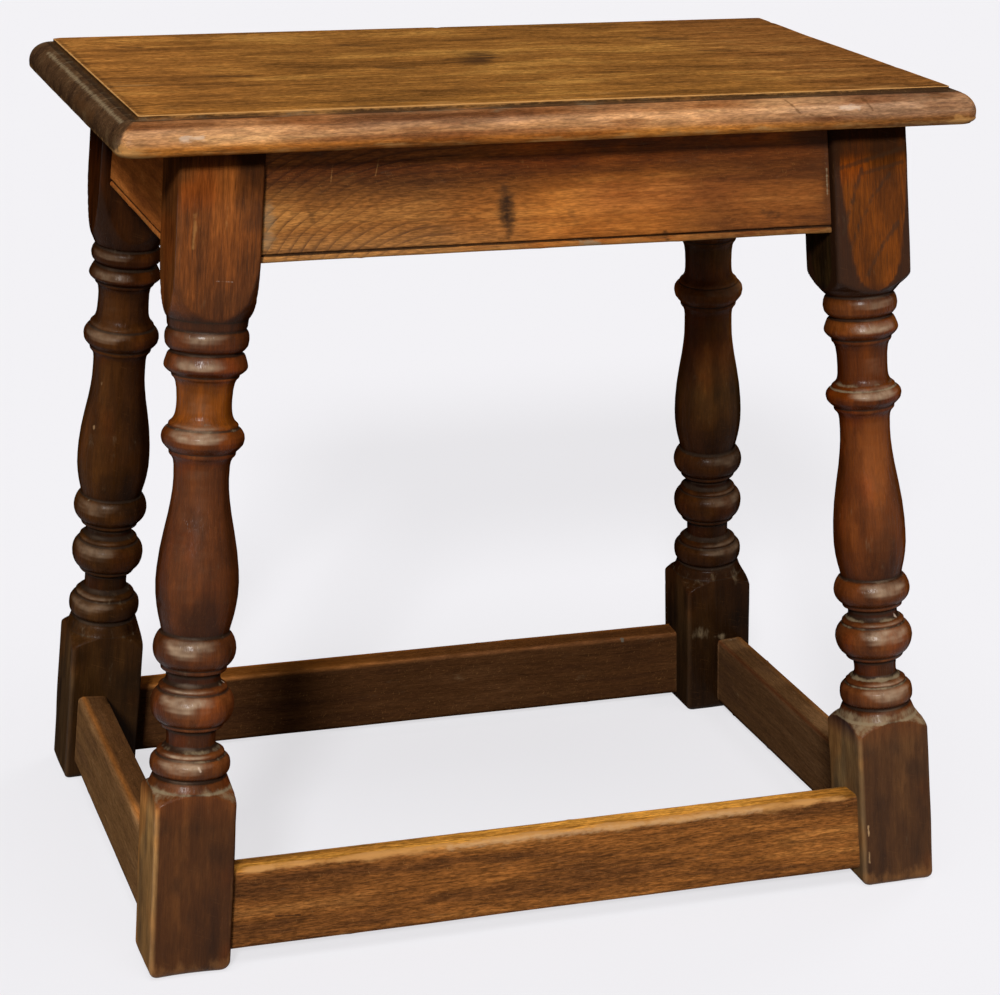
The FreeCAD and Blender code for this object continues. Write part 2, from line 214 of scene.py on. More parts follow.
# Height above the floor and radius of the turned part, in millimetres, upwards.
TURNING = (
    (82.5, 31.6), (85.4, 30.2), (88, 28.6), (90, 26.6), (91.3, 24.6), (92.3, 22.9), (93.6, 21.7), (95.8, 20.8),
    (98, 20.1), (99.6, 19.5), (100.3, 18.4), (101.5, 18.0), (102.3, 18.7),
    (102.8, 19.7), (104.4, 20.6), (106.6, 21.1), (109, 21.2), (111, 20.8), (112.4, 19.8), (113.2, 18.8),
    (113.5, 17.6), (114.1, 17.4), (114.5, 17.8), (116.0, 17.6), (116.3, 16.8),
    (117.2, 15.1), (118.3, 13.7), (119.6, 12.9), (121.6, 12.6), (124.6, 12.6), (127.0, 12.8), (128.1, 13.3),
    (128.5, 14.5), (128.9, 16.3), (130.5, 16.8), (130.8, 16.5),
    (131.2, 17.5), (132.3, 18.9), (134, 20.1), (136.3, 21.0), (139.2, 21.4), (142.4, 21.1), (145, 20.2), (147, 18.9),
    (147.8, 18.0), (148.1, 17.1), (148.7, 17.0), (149.0, 17.5), (150.5, 17.3), (150.8, 16.6),
    (151.8, 15.3), (153, 14.3), (154.2, 13.9), (155.6, 13.8), (157.2, 13.9), (158.0, 14.4),
    (158.4, 15.4), (158.8, 16.7), (160.5, 17.1), (160.8, 16.8),
    (161.2, 17.7), (162.6, 19.3), (164.4, 20.6), (166.4, 21.3), (168.4, 21.5), (171, 21.1), (173.6, 20.1),
    (175.6, 18.8), (176.1, 17.6), (176.8, 17.3), (177.6, 17.5),
    (180, 18.0), (185, 19.2), (190, 20.1), (196, 20.8), (203, 21.0), (210, 20.7), (220, 19.7),
    (230, 18.1), (240, 16.3), (247, 15.3), (253, 14.7), (259, 14.5), (265, 14.6), (267.6, 15.0),
    (269.2, 15.8), (270.2, 16.7), (270.6, 17.2), (272.3, 17.4), (272.6, 17.1),
    (273.0, 17.9), (274.2, 19.2), (276, 20.8), (278.5, 21.4), (281, 21.1), (283, 20.0), (284.2, 18.9),
    (284.6, 18.0), (285.1, 17.9), (285.4, 18.1), (286.7, 17.7), (287.0, 17.0),
    (288.2, 16.0), (290, 15.1), (292, 14.6), (295, 14.3), (299, 14.2), (304, 14.4), (307.6, 15.0),
    (309.2, 15.7), (310.1, 16.5), (310.4, 17.0), (311.6, 17.2), (311.9, 17.0),
    (312.3, 17.9), (313.2, 19.2), (314.4, 20.5), (315.4, 21.0), (316.6, 20.7), (318.2, 19.9), (319.8, 19.0),
    (320.7, 18.3), (321.1, 17.1), (321.8, 17.0),
    (322.6, 18.4), (324.4, 19.9), (327, 20.4), (329.2, 19.9), (331, 18.9),
    (331.6, 18.0), (332.4, 18.0), (333.2, 18.9), (335, 19.8), (337.4, 21.0), (340, 22.2), (344, 23.8),
    (350, 25.6), (357, 27.4), (365, 28.8), (374, 30.0), (384, 31.2),
)
# Where the same members stand on each leg, and how much thicker they are there.
MEMBERS = (92, 101.5, 109, 123.6, 139.2, 155.8, 168, 177, 203, 258, 278.5, 297, 315.3, 321.3, 327, 332, 338, 350)
MEMBERS_OF = {
    "front_left": (96, 103.4, 109.4, 123.2, 140.5, 155.6, 170, 179.6, 205, 258, 279.8, 297.5, 316.2, 324, 330.4, 336,
                   341, 350.5),
    "front_right": (93, 101.3, 108.8, 122, 139.6, 154.6, 166.8, 175.6, 199, 257, 277.6, 291, 313.8, 321, 327.4, 333.6,
                    338, 344),
    "back_left": (92, 101.3, 109.3, 124.4, 141.8, 156.6, 170, 179.4, 203, 255, 276.6, 295, 313.4, 320, 326, 331,
                  337.3, 350),
    "back_right": (92.5, 101.3, 109.5, 123.8, 142.3, 156.3, 170.2, 179, 203.5, 259, 283.2, 299, 321.6, 327.4, 333, 338,
                   343.5, 353.5),
}
THICKER_OF = {
    "front_left": (0, 0.2, -0.2, 0.2, 0.4, 0.4, 0.1, 0.3, 0.4, -0.4, -0.1, -0.2, 0.3, 1.1, 1.0, 1.9, -0.6, 0.3),
    "front_right": (0, 0, -1.0, -1.0, 0.1, -0.2, -0.3, -0.4, -1.0, -0.8, -0.6, -0.5, -0.7, -0.3, -0.1, 0.3, 1.2, 3.6),
    "back_left": (0, 0.2, -0.2, -0.1, -0.3, -0.2, 0.1, 0.5, 0.2, 0.8, 0.6, 0.6, 0, 0, 0, 0, 0, 0),
    "back_right": (0, 0.3, 0.1, 0.4, 0, 0, 0.1, 0, -0.1, 0.3, -0.1, 0.1, 0, 0, 0, 0, 0, 0),
}
TURNED_FROM = 82.5
TURNED_TO = 384
# What reads as beyond the square blocks: no lathe touched the leg there.
UNTURNED = 60
# Heights (millimetres) at which the wear reads the outline, and the radius that it takes for the blocks.
WEAR_TO = 432
WEAR_STEP = 0.5
BLOCK_RADIUS = 24
# How much further than its flats a block's worn corners reach, as a share of half the block.
CORNER_REACH = 0.372


def turned_radius(corner, heights):
    """Radius left by the lathe at these heights (millimetres) above the floor."""
    pattern = np.array(TURNING)
    fine = np.arange(TURNED_FROM, TURNED_TO, 0.1)
    radius = blur(np.interp(fine, pattern[:, 0], pattern[:, 1]), 2)
    own = MEMBERS_OF[corner]
    common = np.interp(heights, own, MEMBERS)
    common = np.where(heights < own[0], heights - own[0] + MEMBERS[0], common)
    common = np.where(heights > own[-1], heights - own[-1] + MEMBERS[-1], common)
    thicker = np.interp(heights, own, THICKER_OF[corner])
    found = np.interp(common, fine, radius) + thicker
    return np.where((common < TURNED_FROM) | (common > TURNED_TO), UNTURNED, found)


def square_radius(around, half, edge):
    """Distance from the middle of a square with rounded corners to its outline."""
    turn = np.abs((around + math.pi / 4) % (math.pi / 2) - math.pi / 4)
    flat = half / np.cos(turn)
    inner = half - edge
    across = inner * (np.cos(turn) - np.sin(turn))
    corner = inner * (np.cos(turn) + np.sin(turn)) + np.sqrt(np.maximum(edge ** 2 - across ** 2, 0))
    return np.where(half * np.tan(turn) <= inner, flat, corner)


def leg_matrix(side, end):
    lean_x = Matrix.Rotation(SIGN[side] * SPLAY["deep"], 4, "X")
    lean_y = Matrix.Rotation(-SIGN[end] * SPLAY["long"], 4, "Y")
    foot = Vector((SIGN[end] * foot_spread("long") / 2, SIGN[side] * foot_spread("deep") / 2, 0))
    return Matrix.Translation(foot) @ lean_x @ lean_y


def leg_rows(length):
    """Heights of the rings of points along a leg, closer where it is turned."""
    foot = np.array([0, 0.3, 0.7, 1.2, 1.9, 2.8, 3.8, 5.0]) * MM
    block = np.arange(6.5, 76, 2.0) * MM
    turned = np.arange(76.5, 342, 0.60) * MM
    upper = np.arange(343, 392, 1.2) * MM
    head = np.linspace(393.5 * MM, length, 20)
    return np.concatenate([foot, block, turned, upper, head])


def leg_angles():
    """Directions of the columns of points around a leg, closer at its corners."""
    quarter = np.concatenate([np.linspace(-45, -37, 4, endpoint=False),
                              np.linspace(-37, 37, 18, endpoint=False),
                              np.linspace(37, 45, 4, endpoint=False)])
    return np.radians(np.concatenate([quarter + turn for turn in (0, 90, 180, 270)]))


def dents(points, count, seed, size, depth):
    """Depth of scattered knocks at these points, which lie anywhere on a surface."""
    rng = np.random.default_rng(seed)
    total = np.zeros(len(points))
    for spot in rng.choice(len(points), count, replace=False):
        wide = rng.uniform(0.35, 1.0) * size
        away = points - points[spot]
        near = np.einsum("ij,ij->i", away, away) < (3 * wide) ** 2
        distance = (away[near] ** 2).sum(-1)
        total[near] += rng.uniform(0.3, 1.0) * depth * np.exp(-distance / wide ** 2)
    return total


def make_leg(side, end, seed):
    corner = f"{side}_{end}"
    front = side == "front"
    place = leg_matrix(side, end)
    turn = np.array(place.to_3x3())
    length = HEAD / turn[2, 2]
    rows = leg_rows(length)
    around = leg_angles()
    along = rows[:, None] + 0 * around
    level = along * turn[2, 2] / MM
    wander = np.stack([np.cos(around) * 0.02 + 0 * along, np.sin(around) * 0.02 + 0 * along, along], axis=-1)

    # The lathe's outline inside the square's, with a soft line where they meet.
    edge = LEG_EDGE_RADIUS * (1 + 0.35 * noise(wander, 0.018, seed) + 0.25 * smooth(60, 0, level))
    square = square_radius(around, LEG_SQUARE / 2, edge)
    lathe = turned_radius(corner, level[:, :1]) * MM * (1 + 0.006 * np.cos(2 * around + seed))
    gap = np.clip(0.5 + 0.5 * (lathe - square) / LATHE_BLEND, 0, 1)
    radius = lathe * (1 - gap) + square * gap - LATHE_BLEND * gap * (1 - gap)
    worn = FOOT_RADIUS * (1.45 if corner == "front_left" else 1) * (1 + 0.3 * noise(wander, 0.012, seed + 3))
    rise = np.clip(worn - along, 0, None)
    radius = radius - (worn - np.sqrt(np.maximum(worn ** 2 - rise ** 2, 0)))
    is_square = smooth(-1, 1, (lathe - square) / MM)
    radius = radius + MM * (0.10 + 0.12 * is_square) * noise(wander, 0.03, seed + 5)
    radius = radius + MM * 0.05 * noise(wander, (0.008, 0.008, 0.03), seed + 6)

    # The ends are cut level, and the leg leans between them.
    u, v = radius * np.cos(around), radius * np.sin(around)
    tilt = -(turn[2, 0] * u + turn[2, 1] * v) / turn[2, 2]
    near_ends = 1 - smooth(0, 60 * MM, along) + smooth(length - 40 * MM, length, along)
    points = carry(place, np.stack([u, v, along + tilt * near_ends], axis=-1))
    points[0, :, 2] = 0
    piece = new_piece(f"oak_leg_{corner}", points, tube_faces(len(rows), len(around), True))
    points = points.reshape(-1, 3)
    hollow = dents(points, 60, seed + 40, 3.2 * MM, 0.35 * MM)
    hollow = hollow * smooth(0, 4 * MM, points[:, 2]) * smooth(HEAD, HEAD - 4 * MM, points[:, 2])
    push_out(piece, points, -hollow)

    # Wear stands on what is proud of the outline's run, dirt and dust lie in its creases.
    u, v, level, square, is_square = (values.ravel() for values in (u / MM, v / MM, level, square, is_square))
    turned = 1 - is_square
    facing = read_normals(piece)
    # How far each face turns towards the way of the leg's painted highlight.
    toward_painted_highlight = facing @ np.array(PAINTED_HIGHLIGHT_WAY[corner])
    heights = np.arange(0, WEAR_TO, WEAR_STEP)
    outline = np.minimum(turned_radius(corner, heights), BLOCK_RADIUS)
    relief = np.interp(level, heights, outline - blur(outline, 8))
    crease = np.interp(level, heights, blur(outline, 2.0) - outline)
    rising = np.interp(level, heights, np.gradient(blur(outline, 2.5), WEAR_STEP))
    arris = smooth(0.78, 1.0, (square - LEG_SQUARE / 2) / (CORNER_REACH * LEG_SQUARE / 2)) * is_square
    arris = arris * (0.45 * smooth(95, 80, level) + 0.35 * smooth(340, 350, level)) * (1 if front else 0.3)
    foot_rim = smooth(16, 1, level) * (0.8 if front else 0.2)
    ledge = smooth(0.3, 1.4, -rising) * smooth(0.02, 0.25, crease)
    on_shoulder = smooth(86, 91, level) * smooth(101, 97, level) * (0.58 if end == "right" else 0.42)
    patches = 0.75 + 0.6 * noise(wander.reshape(-1, 3), (0.012, 0.012, 0.006), seed + 8)
    dusty = np.clip((1.6 if corner == "front_right" else 1.0) * ledge * patches + on_shoulder * turned, 0, 1)
    dusty = dusty * (1 if front else 0.3)
    if corner == "back_right":
        spots = points / MM
        dusty = dusty + 0.42 * (blob(spots, (188, 108.5, 55), (11, 9, 7)) + blob(spots, (199, 109, 52), (9, 9, 3)))
    paint(piece, dust=dusty,
          wear=np.clip(smooth(0.6, 2.6, relief) * 0.5 * turned + arris + foot_rim, 0, 1),
          grime=np.clip(0.55 * smooth(0.5, 2.6, -relief) * turned + 1.4 * smooth(0.05, 0.34, crease), 0, 1),
          closed=0.9 - (0.5 if front else 0.1) * is_square * smooth(330, 345, level),
          stain=leg_stain(corner, u, v, level, is_square),
          # The last field is a painted highlight, grey, on the upper faces of the beads.
          haze=leg_haze(corner, u, v, level, relief, toward_painted_highlight) * turned)
    # Colour factors with painted light and shade in them.
    tint_and_painted_light = leg_tint_and_painted_light(corner, u, v, level, is_square, relief, toward_painted_highlight, smooth(0.05, 0.6, -facing @ FACING))
    paint_tint_and_painted_light(piece, tint_and_painted_light, (1 if front else 0.35) * smooth(412, 396, level))
    stand_for(piece, f"leg_{corner}")
    return piece, turn


def leg_stain(corner, u, v, level, is_square):
    """Darkening of a leg, negative where it is paler: stains, and painted shade near the top of the legs, under the top
    board.
    """
    arch = (1 - is_square) * smooth(325, 345, level)
    # The band from 419 mm up is painted shade under the top board.
    stain = (0.35 if corner == "front_left" else 0.75) * arch + 0.35 * smooth(419, 427, level)
    if corner == "front_right":
        arch = np.interp(level, (337.5, 338.5, 341, 344.5, 350, 357, 371, 385, 400, 412),
                         (0, 4, 7.5, 10, 12, 13.6, 15.4, 17, 18.6, 19.6))
        across = np.where(v < -12, np.abs(u - 1.4), np.abs(v))
        stain = 0.3 * stain * (1 - is_square) + 0.95 * smooth(-0.6, 1.4, across - arch) * smooth(333, 337, level)
        # Painted shade at the top of the front right leg, under the top board.
        stain = stain + 0.8 * smooth(402, 414, level)
    if corner == "front_left":
        # The term from 402 mm up is painted shade under the top board.
        stain = stain + 0.55 * smooth(3, 13, u) * smooth(378, 392, level) + 0.3 * smooth(402, 424, level)
        stain = stain + 0.35 * smooth(347, 340, level) * (1 - is_square)
    if corner.startswith("front"):
        stain = stain + 0.35 * smooth(88, 78, level)
    return stain


# The way a face turns where each leg's painted highlight is strongest: towards the light, on the upper halves of the
# turned members.
PAINTED_HIGHLIGHT_WAY = {
    "front_left": (-0.28, -0.76, 0.59),
    "front_right": (-0.05, -0.805, 0.59),
    "back_left": (-0.48, -0.65, 0.59),
    "back_right": (0.20, -0.78, 0.59),
}
# Tone of each leg at heights above the floor (millimetres): red, green and blue factors. They hold painted light and
# shade on the faces that turn to the front: the back legs are darkened as painted shade, and bands such as the back
# right leg's collar are made paler as painted light where cast shadow falls.
LEG_TONES_AND_PAINTED_LIGHT = {
    "front_left": ((80, 0.59, 0.74, 0.91), (100, 0.85, 0.9, 1.0), (160, 1, 1, 1), (255, 1, 1, 1), (272, 1.15, 1.1, 0.9),
                   (286, 1.3, 1.2, 0.85), (291, 2.7, 2.5, 0.75), (309, 2.7, 2.5, 0.75), (315, 1.3, 1.2, 1.1),
                   (340, 1.1, 1.1, 1.1), (350, 1.60, 1.66, 1.42)),
    "front_right": ((80, 0.58, 0.86, 1.3), (100, 0.62, 0.68, 0.85), (120, 0.8, 0.85, 0.9), (160, 0.95, 0.95, 0.9),
                    (185, 1, 0.93, 0.7), (250, 1, 0.93, 0.7), (280, 0.75, 0.61, 0.29), (305, 0.75, 0.61, 0.29),
                    (322, 1, 1, 0.8), (336, 0.6, 0.6, 0.6), (342, 1.36, 1.24, 0.48), (350, 1.36, 1.24, 0.44)),
    "back_left": ((60, 0.22, 0.34, 0.42), (160, 0.41, 0.51, 0.47), (205, 0.42, 0.52, 0.46), (290, 0.34, 0.39, 0.36),
                  (350, 0.28, 0.29, 0.24)),
    "back_right": ((60, 0.127, 0.19, 0.27), (160, 0.33, 0.37, 0.34), (192, 0.33, 0.42, 0.48), (206, 0.38, 0.54, 0.58),
                   (221, 0.52, 0.78, 0.80), (236, 0.95, 1.2, 1.1), (248, 1.4, 1.5, 1.2), (262, 1.15, 1.35, 1.0),
                   (275, 1.1, 1.3, 1.05), (286, 1.6, 1.9, 1.5), (296, 1.25, 1.35, 1.1), (311, 0.72, 1.0, 0.7),
                   (350, 0.95, 1.0, 0.9)),
}
# Further factors on the left faces of the blocks, lower and upper: painted light that makes most left faces paler, and
# painted shade that darkens the upper left face of the front right leg beside its frieze rail.
LEFT_FACE_PAINTED_LIGHT = {
    "front_left": ((4.5, 6.9, 8.6), (0.92, 1.0, 1.12)),
    "front_right": ((2.85, 4.1, 4.9), (0.135, 0.28, 1.1)),
    "back_left": ((2.3, 2.9, 4.5), (1.5, 1.45, 1.6)),
    "back_right": ((2.0, 2.4, 3.0), (1.5, 1.45, 1.6)),
}
# Share of the painted highlight, grey, on each leg.
PAINTED_HIGHLIGHT_SHARE = {"front_left": 1.0, "front_right": 0.9, "back_left": 0.42, "back_right": 0.30}
# Tone of the faces that turn to the back, which take none of the painted light and shade of the leg tones.
REAR_TONE = np.array((0.95, 1.0, 1.05))


def leg_haze(corner, u, v, level, relief, toward_painted_highlight):
    """Painted highlight, grey, on the upper faces of the beads that turn towards the light."""
    spots = np.stack([u, v, level], axis=-1)
    uneven = 0.85 + 0.55 * noise(spots, (7, 7, 2.2), len(corner)) + 0.35 * noise(spots, (3, 3, 1.2), 5)
    on_bead = smooth(-0.8, 1.2, relief) * smooth(95, 103, level) * smooth(345, 333, level)
    on_bead = on_bead * (1 - 0.88 * smooth(182, 190, level) * smooth(266, 258, level))
    on_neck = 0.25 * smooth(0.0, -2.0, relief) * smooth(0.9, 1.0, toward_painted_highlight)
    haze = (smooth(0.72, 0.97, toward_painted_highlight) * on_bead + on_neck) * uneven
    if corner == "back_right":
        haze = haze * (1 + 1.6 * smooth(272, 276, level) * smooth(293, 287, level))
    return np.clip(haze, 0, 1) * PAINTED_HIGHLIGHT_SHARE[corner]


def leg_tint_and_painted_light(corner, u, v, level, is_square, relief, toward_painted_highlight, behind):
    turned = 1 - is_square
    spots = np.stack([u, v, level], axis=-1)
    tint_and_painted_light = washes(
        # Painted light on the proud turned members, painted shade in their hollows and on turned faces that turn away
        # from the light; then tone that differs at random.
        (turned * smooth(0.4, 2.6, relief), (1.15, 1.12, 1.10)),
        (turned * smooth(0.2, -2.2, relief), (0.42, 0.38, 0.40)),
        (turned * smooth(0.75, 0.1, toward_painted_highlight), (0.72, 0.66, 0.70)),
        (smooth(0.1, 0.7, noise(spots, (14, 14, 22), 31)), (1.25, 1.05, 0.85)),
        (smooth(0.1, 0.7, noise(spots, (10, 10, 16), 32)), (0.70, 0.74, 0.85)),
    )
    # The leg tones, with their painted light and shade, count on the faces that turn to the front; the left faces of
    # the blocks take further painted light and shade.
    heights, *bands = np.array(LEG_TONES_AND_PAINTED_LIGHT[corner]).T
    tones_and_painted_light = np.stack([np.interp(level, heights, band) for band in bands], axis=-1)
    rear = behind[:, None]
    left_face = smooth(-19, -20.8, u) * is_square
    blocks = smooth(100, 80, level)
    lower, upper = LEFT_FACE_PAINTED_LIGHT[corner]
    return tint_and_painted_light * (tones_and_painted_light * (1 - rear) + REAR_TONE * rear) * washes((left_face * blocks, lower),
                                                                   (left_face * (1 - blocks), upper))


# Rails

def way_of(side):
    """The way a rail leans: a rail on the left or the right with the legs' long splay."""
    return "long" if side in ("left", "right") else "deep"


def rail_matrix(side, level):
    """Local X along the rail, Y inwards and Z up the leaning outer faces of the legs."""
    way = way_of(side)
    lean = SPLAY[way]
    flush = LEG_SQUARE / 2 - RAIL_INSET
    out = foot_spread(way) / 2 - level * math.tan(lean) + flush / math.cos(lean)
    turn = Matrix.Rotation(math.radians(RAIL_TURN[side]), 4, "Z")
    tilt = Matrix.Rotation(-lean, 4, "X")
    return turn @ Matrix.Translation((0, -out, level)) @ tilt


def shoulder(side, place, end, points):
    """Where lines along a rail meet the inner face of the leg at one end of it, -1 or 1."""
    reach = end if side in ("front", "right") else -end
    if way_of(side) == "deep":
        leg = leg_matrix(side, "right" if reach > 0 else "left")
        inner = Vector((-reach, 0, 0))
    else:
        leg = leg_matrix("back" if reach > 0 else "front", side)
        inner = Vector((0, -reach, 0))
    normal = leg.to_3x3() @ inner
    along = place.to_3x3() @ Vector((1, 0, 0))
    face = np.array(leg @ (inner * LEG_SQUARE / 2))
    return (face - carry(place, points)) @ np.array(normal) / along.dot(normal)


def frieze_section(height):
    """Outline of a frieze rail's outer face, bead first, as points (inwards, upwards)."""
    bead = BEAD_HEIGHT / 2
    turn = np.radians(np.linspace(-90, 90, 9))
    round_bead = [(bead * 0.75 * (1 - math.cos(a)), bead + bead * math.sin(a)) for a in turn]
    quirk_top = BEAD_HEIGHT + BEAD_QUIRK
    quirk = [(BEAD_DEPTH, BEAD_HEIGHT + 0.1 * MM), (BEAD_DEPTH, quirk_top - 0.2 * MM), (0.25 * MM, quirk_top)]
    face = [(0, z) for z in np.linspace(quirk_top + 0.4 * MM, height, 26)]
    return round_bead + quirk + face


def make_board(name, side, level, height, thickness, outline, seed, gap, wear_top):
    """A board between two legs, from the outline of its outer face, with a gap at its far end."""
    place = rail_matrix(side, level)
    upper = [(y, height) for y in np.linspace(0, thickness, 7)[1:-1]]
    back = [(thickness, z) for z in np.linspace(height, 0, 16)]
    lower = [(y, 0) for y, _ in upper[::-1]]
    section = round_corners(np.array(outline + upper + back + lower), thickness, height, wear_top)
    base = np.insert(section, 0, 0, axis=1)
    low = shoulder(side, place, -1, base)
    high = shoulder(side, place, 1, base) - gap
    steps = int((high.max() - low.min()) / (2.6 * MM))
    share = np.linspace(0, 1, steps)[:, None]
    local = np.stack(np.broadcast_arrays(low * (1 - share) + high * share, *section.T), axis=-1)
    points = carry(place, local).reshape(-1, 3)
    piece = new_piece(name, points, tube_faces(steps, len(section), False))
    local = local.reshape(-1, 3)
    waves = 0.22 * noise(local, (0.06, 0.03, 0.03), seed) + 0.06 * noise(local, (0.02, 0.006, 0.006), seed + 1)
    push = waves * MM - dents(points, 50, seed + 50, 3.0 * MM, 0.35 * MM)
    push_out(piece, points, push * np.minimum(share * (1 - share) * 30, 1).repeat(len(section)))
    return piece, place, local


def round_corners(section, thickness, height, wear_top):
    """Pulls the points near a board's arrises onto a worn round."""
    moved = section.copy()
    arrises = (0, height, wear_top), (thickness, height, 1.5 * MM), (thickness, 0, 1.2 * MM), (0, 0, 1.2 * MM)
    for y0, z0, radius in arrises:
        inwards = np.array((1 if y0 == 0 else -1, 1 if z0 == 0 else -1))
        centre = np.array((y0, z0)) + radius * inwards
        away = moved - centre
        distance = np.hypot(*away.T)
        outside = (away * inwards < 0).all(axis=1) & (distance > radius)
        scale = np.where(outside, radius / np.maximum(distance, 1e-9), 1)
        moved = centre + away * scale[:, None]
    return moved


def make_frieze(side, seed, gap):
    front = side == "front"
    height = FRIEZE_HEIGHT / math.cos(SPLAY[way_of(side)])
    piece, place, local = make_board(f"oak_frieze_rail_{side}", side, HEAD - FRIEZE_HEIGHT, height, FRIEZE_THICKNESS,
                                     frieze_section(height), seed, gap, 0.4 * MM)
    points = read(piece.data.vertices, "co")
    points[:, 2] = np.minimum(points[:, 2], HEAD)
    write_points(piece, points)
    x, y, z = local.T / MM
    top = height / MM
    outer = y < 2
    quirk = outer * smooth(0.3, 1.0, y) * (z > 2.5) * (z < 5.5)
    ends = smooth(9, 2, np.abs(x).max() - np.abs(x))
    paint(piece, grime=quirk, figure=frieze_figure(side, local),
          wear=np.clip(smooth(5, 3.4, z) * (z < 3.2) * 0.55 * outer + smooth(2, 0, z) * 0.3, 0, 1),
          # The band over the upper 6 to 15 mm of the outer face is painted shade under the top board, with grime.
          stain=0.5 * smooth(top - 15, top - 6, z) * outer + 0.4 * ends + frieze_stain(side, local),
          closed=0.1 + 0.45 * smooth(-50, 10, x) if front else 0.8 if side == "left" else 0.5,
          rings=smooth(0, -70, x) if front else 0)
    paint_tint_and_painted_light(piece, frieze_tint_and_painted_light(side, local), 0.8 if front else 0)
    stand_for(piece, f"frieze_rail_{side}")
    return piece, place


def frieze_stain(side, local):
    """Darkening of a frieze rail, negative where it is paler; on the front rail the upper right part is darkened as
    painted shade under the top board.
    """
    x, _, z = local.T / MM
    stain = 0.18 * noise(local, (0.05, 0.05, 0.012), 5) + 0.12 * noise(local, (0.014, 0.01, 0.005), 6)
    if side == "front":
        stain = stain + 0.35 * smooth(120, 150, x) + 0.25 * smooth(-10, 20, x) * smooth(38, 52, z)
        stain = stain - 0.15 * smooth(-105, -150, x) * smooth(45, 30, z)
    return stain


def frieze_figure(side, local):
    """Extra reach from the pith, which turns the growth rings down at the left end of the front rail."""
    x, _, z = local.T
    if side != "front":
        return 0.004 * noise(local, (0.07, 0.05, 0.02), 9)
    beyond = np.minimum(x + 0.066, 0) / 1.45
    above = z + 0.014
    bend = np.hypot(beyond, above) - above
    return bend + 0.0016 * noise(local, (0.03, 0.05, 0.012), 10) + 0.003 * noise(local, (0.08, 0.05, 0.03), 9)


def frieze_tint_and_painted_light(side, local):
    x, _, z = local.T / MM
    if side != "front":
        # The left rail is made paler as painted light.
        return np.full((len(local), 3), (1.6, 1.4, 1.4) if side == "left" else (0.9, 0.88, 0.88))
    return washes(
        (smooth(-40, -70, x), (1.0, 1.10, 1.25)),
        (smooth(-30, 0, x) * smooth(90, 50, x), (1.18, 1.10, 0.95)),
        (smooth(60, 120, x), (0.80, 0.74, 0.78)),
        (smooth(38, 50, z), (1.35, 1.10, 0.85)),
        # A band of painted shade under the top board's overhang, and painted light along the very top of the left part.
        (smooth(25, 43, z) * smooth(51, 47, z) * (1 - 0.2 * smooth(0, 30, x)), (0.30, 0.25, 0.27)),
        (smooth(48, 54, z) * smooth(-40, 10, x), (2.2, 1.8, 0.9)),
        (smooth(18, 5, z) * smooth(0, -40, x), (1.4, 1.6, 1.9)),
        (smooth(0, 30, x) * smooth(115, 85, x) * smooth(12, 22, z) * smooth(36, 30, z), (0.82, 0.76, 0.86)),
    )


# How far the wax is closed, and how far the arrises are worn.
STRETCHER_CLOSED = {"front": 0.2, "back": 0.5, "left": 0.55, "right": 0.6}
STRETCHER_WORN = {"front": 1, "back": 0.15, "left": 0.1, "right": 0.1}


def make_stretcher(side, seed):
    outline = [(0, z) for z in np.linspace(0, STRETCHER_HEIGHT, 24)]
    piece, place, local = make_board(f"oak_stretcher_{side}", side, STRETCHER_LEVEL[side], STRETCHER_HEIGHT,
                                     STRETCHER_THICKNESS, outline, seed, 0, 3.0 * MM)
    x, y, z = local.T / MM
    top = STRETCHER_HEIGHT / MM
    from_end = np.abs(x).max() - np.abs(x)
    ends = smooth(12, 2, from_end)
    arris = smooth(top - 4, top - 1, z) * smooth(6, 2, y)
    patchy = 0.75 + 0.25 * noise(local, (0.035, 0.02, 0.02), seed) + 0.2 * noise(local, (0.012, 0.01, 0.01), seed + 2)
    worn = (arris * (1 - ends) + 0.5 * smooth(3, 0.5, z)) * patchy
    paint(piece, wear=np.clip(STRETCHER_WORN[side] * worn, 0, 1), grime=0.5 * smooth(4, 1, from_end), stain=0.4 * ends,
          figure=0.003 * noise(local, (0.08, 0.05, 0.02), seed + 4), closed=STRETCHER_CLOSED[side])
    paint_tint_and_painted_light(piece, stretcher_tint_and_painted_shade(side, local), 0.5 if side == "front" else 0)
    stand_for(piece, f"stretcher_{side}")
    return piece, place


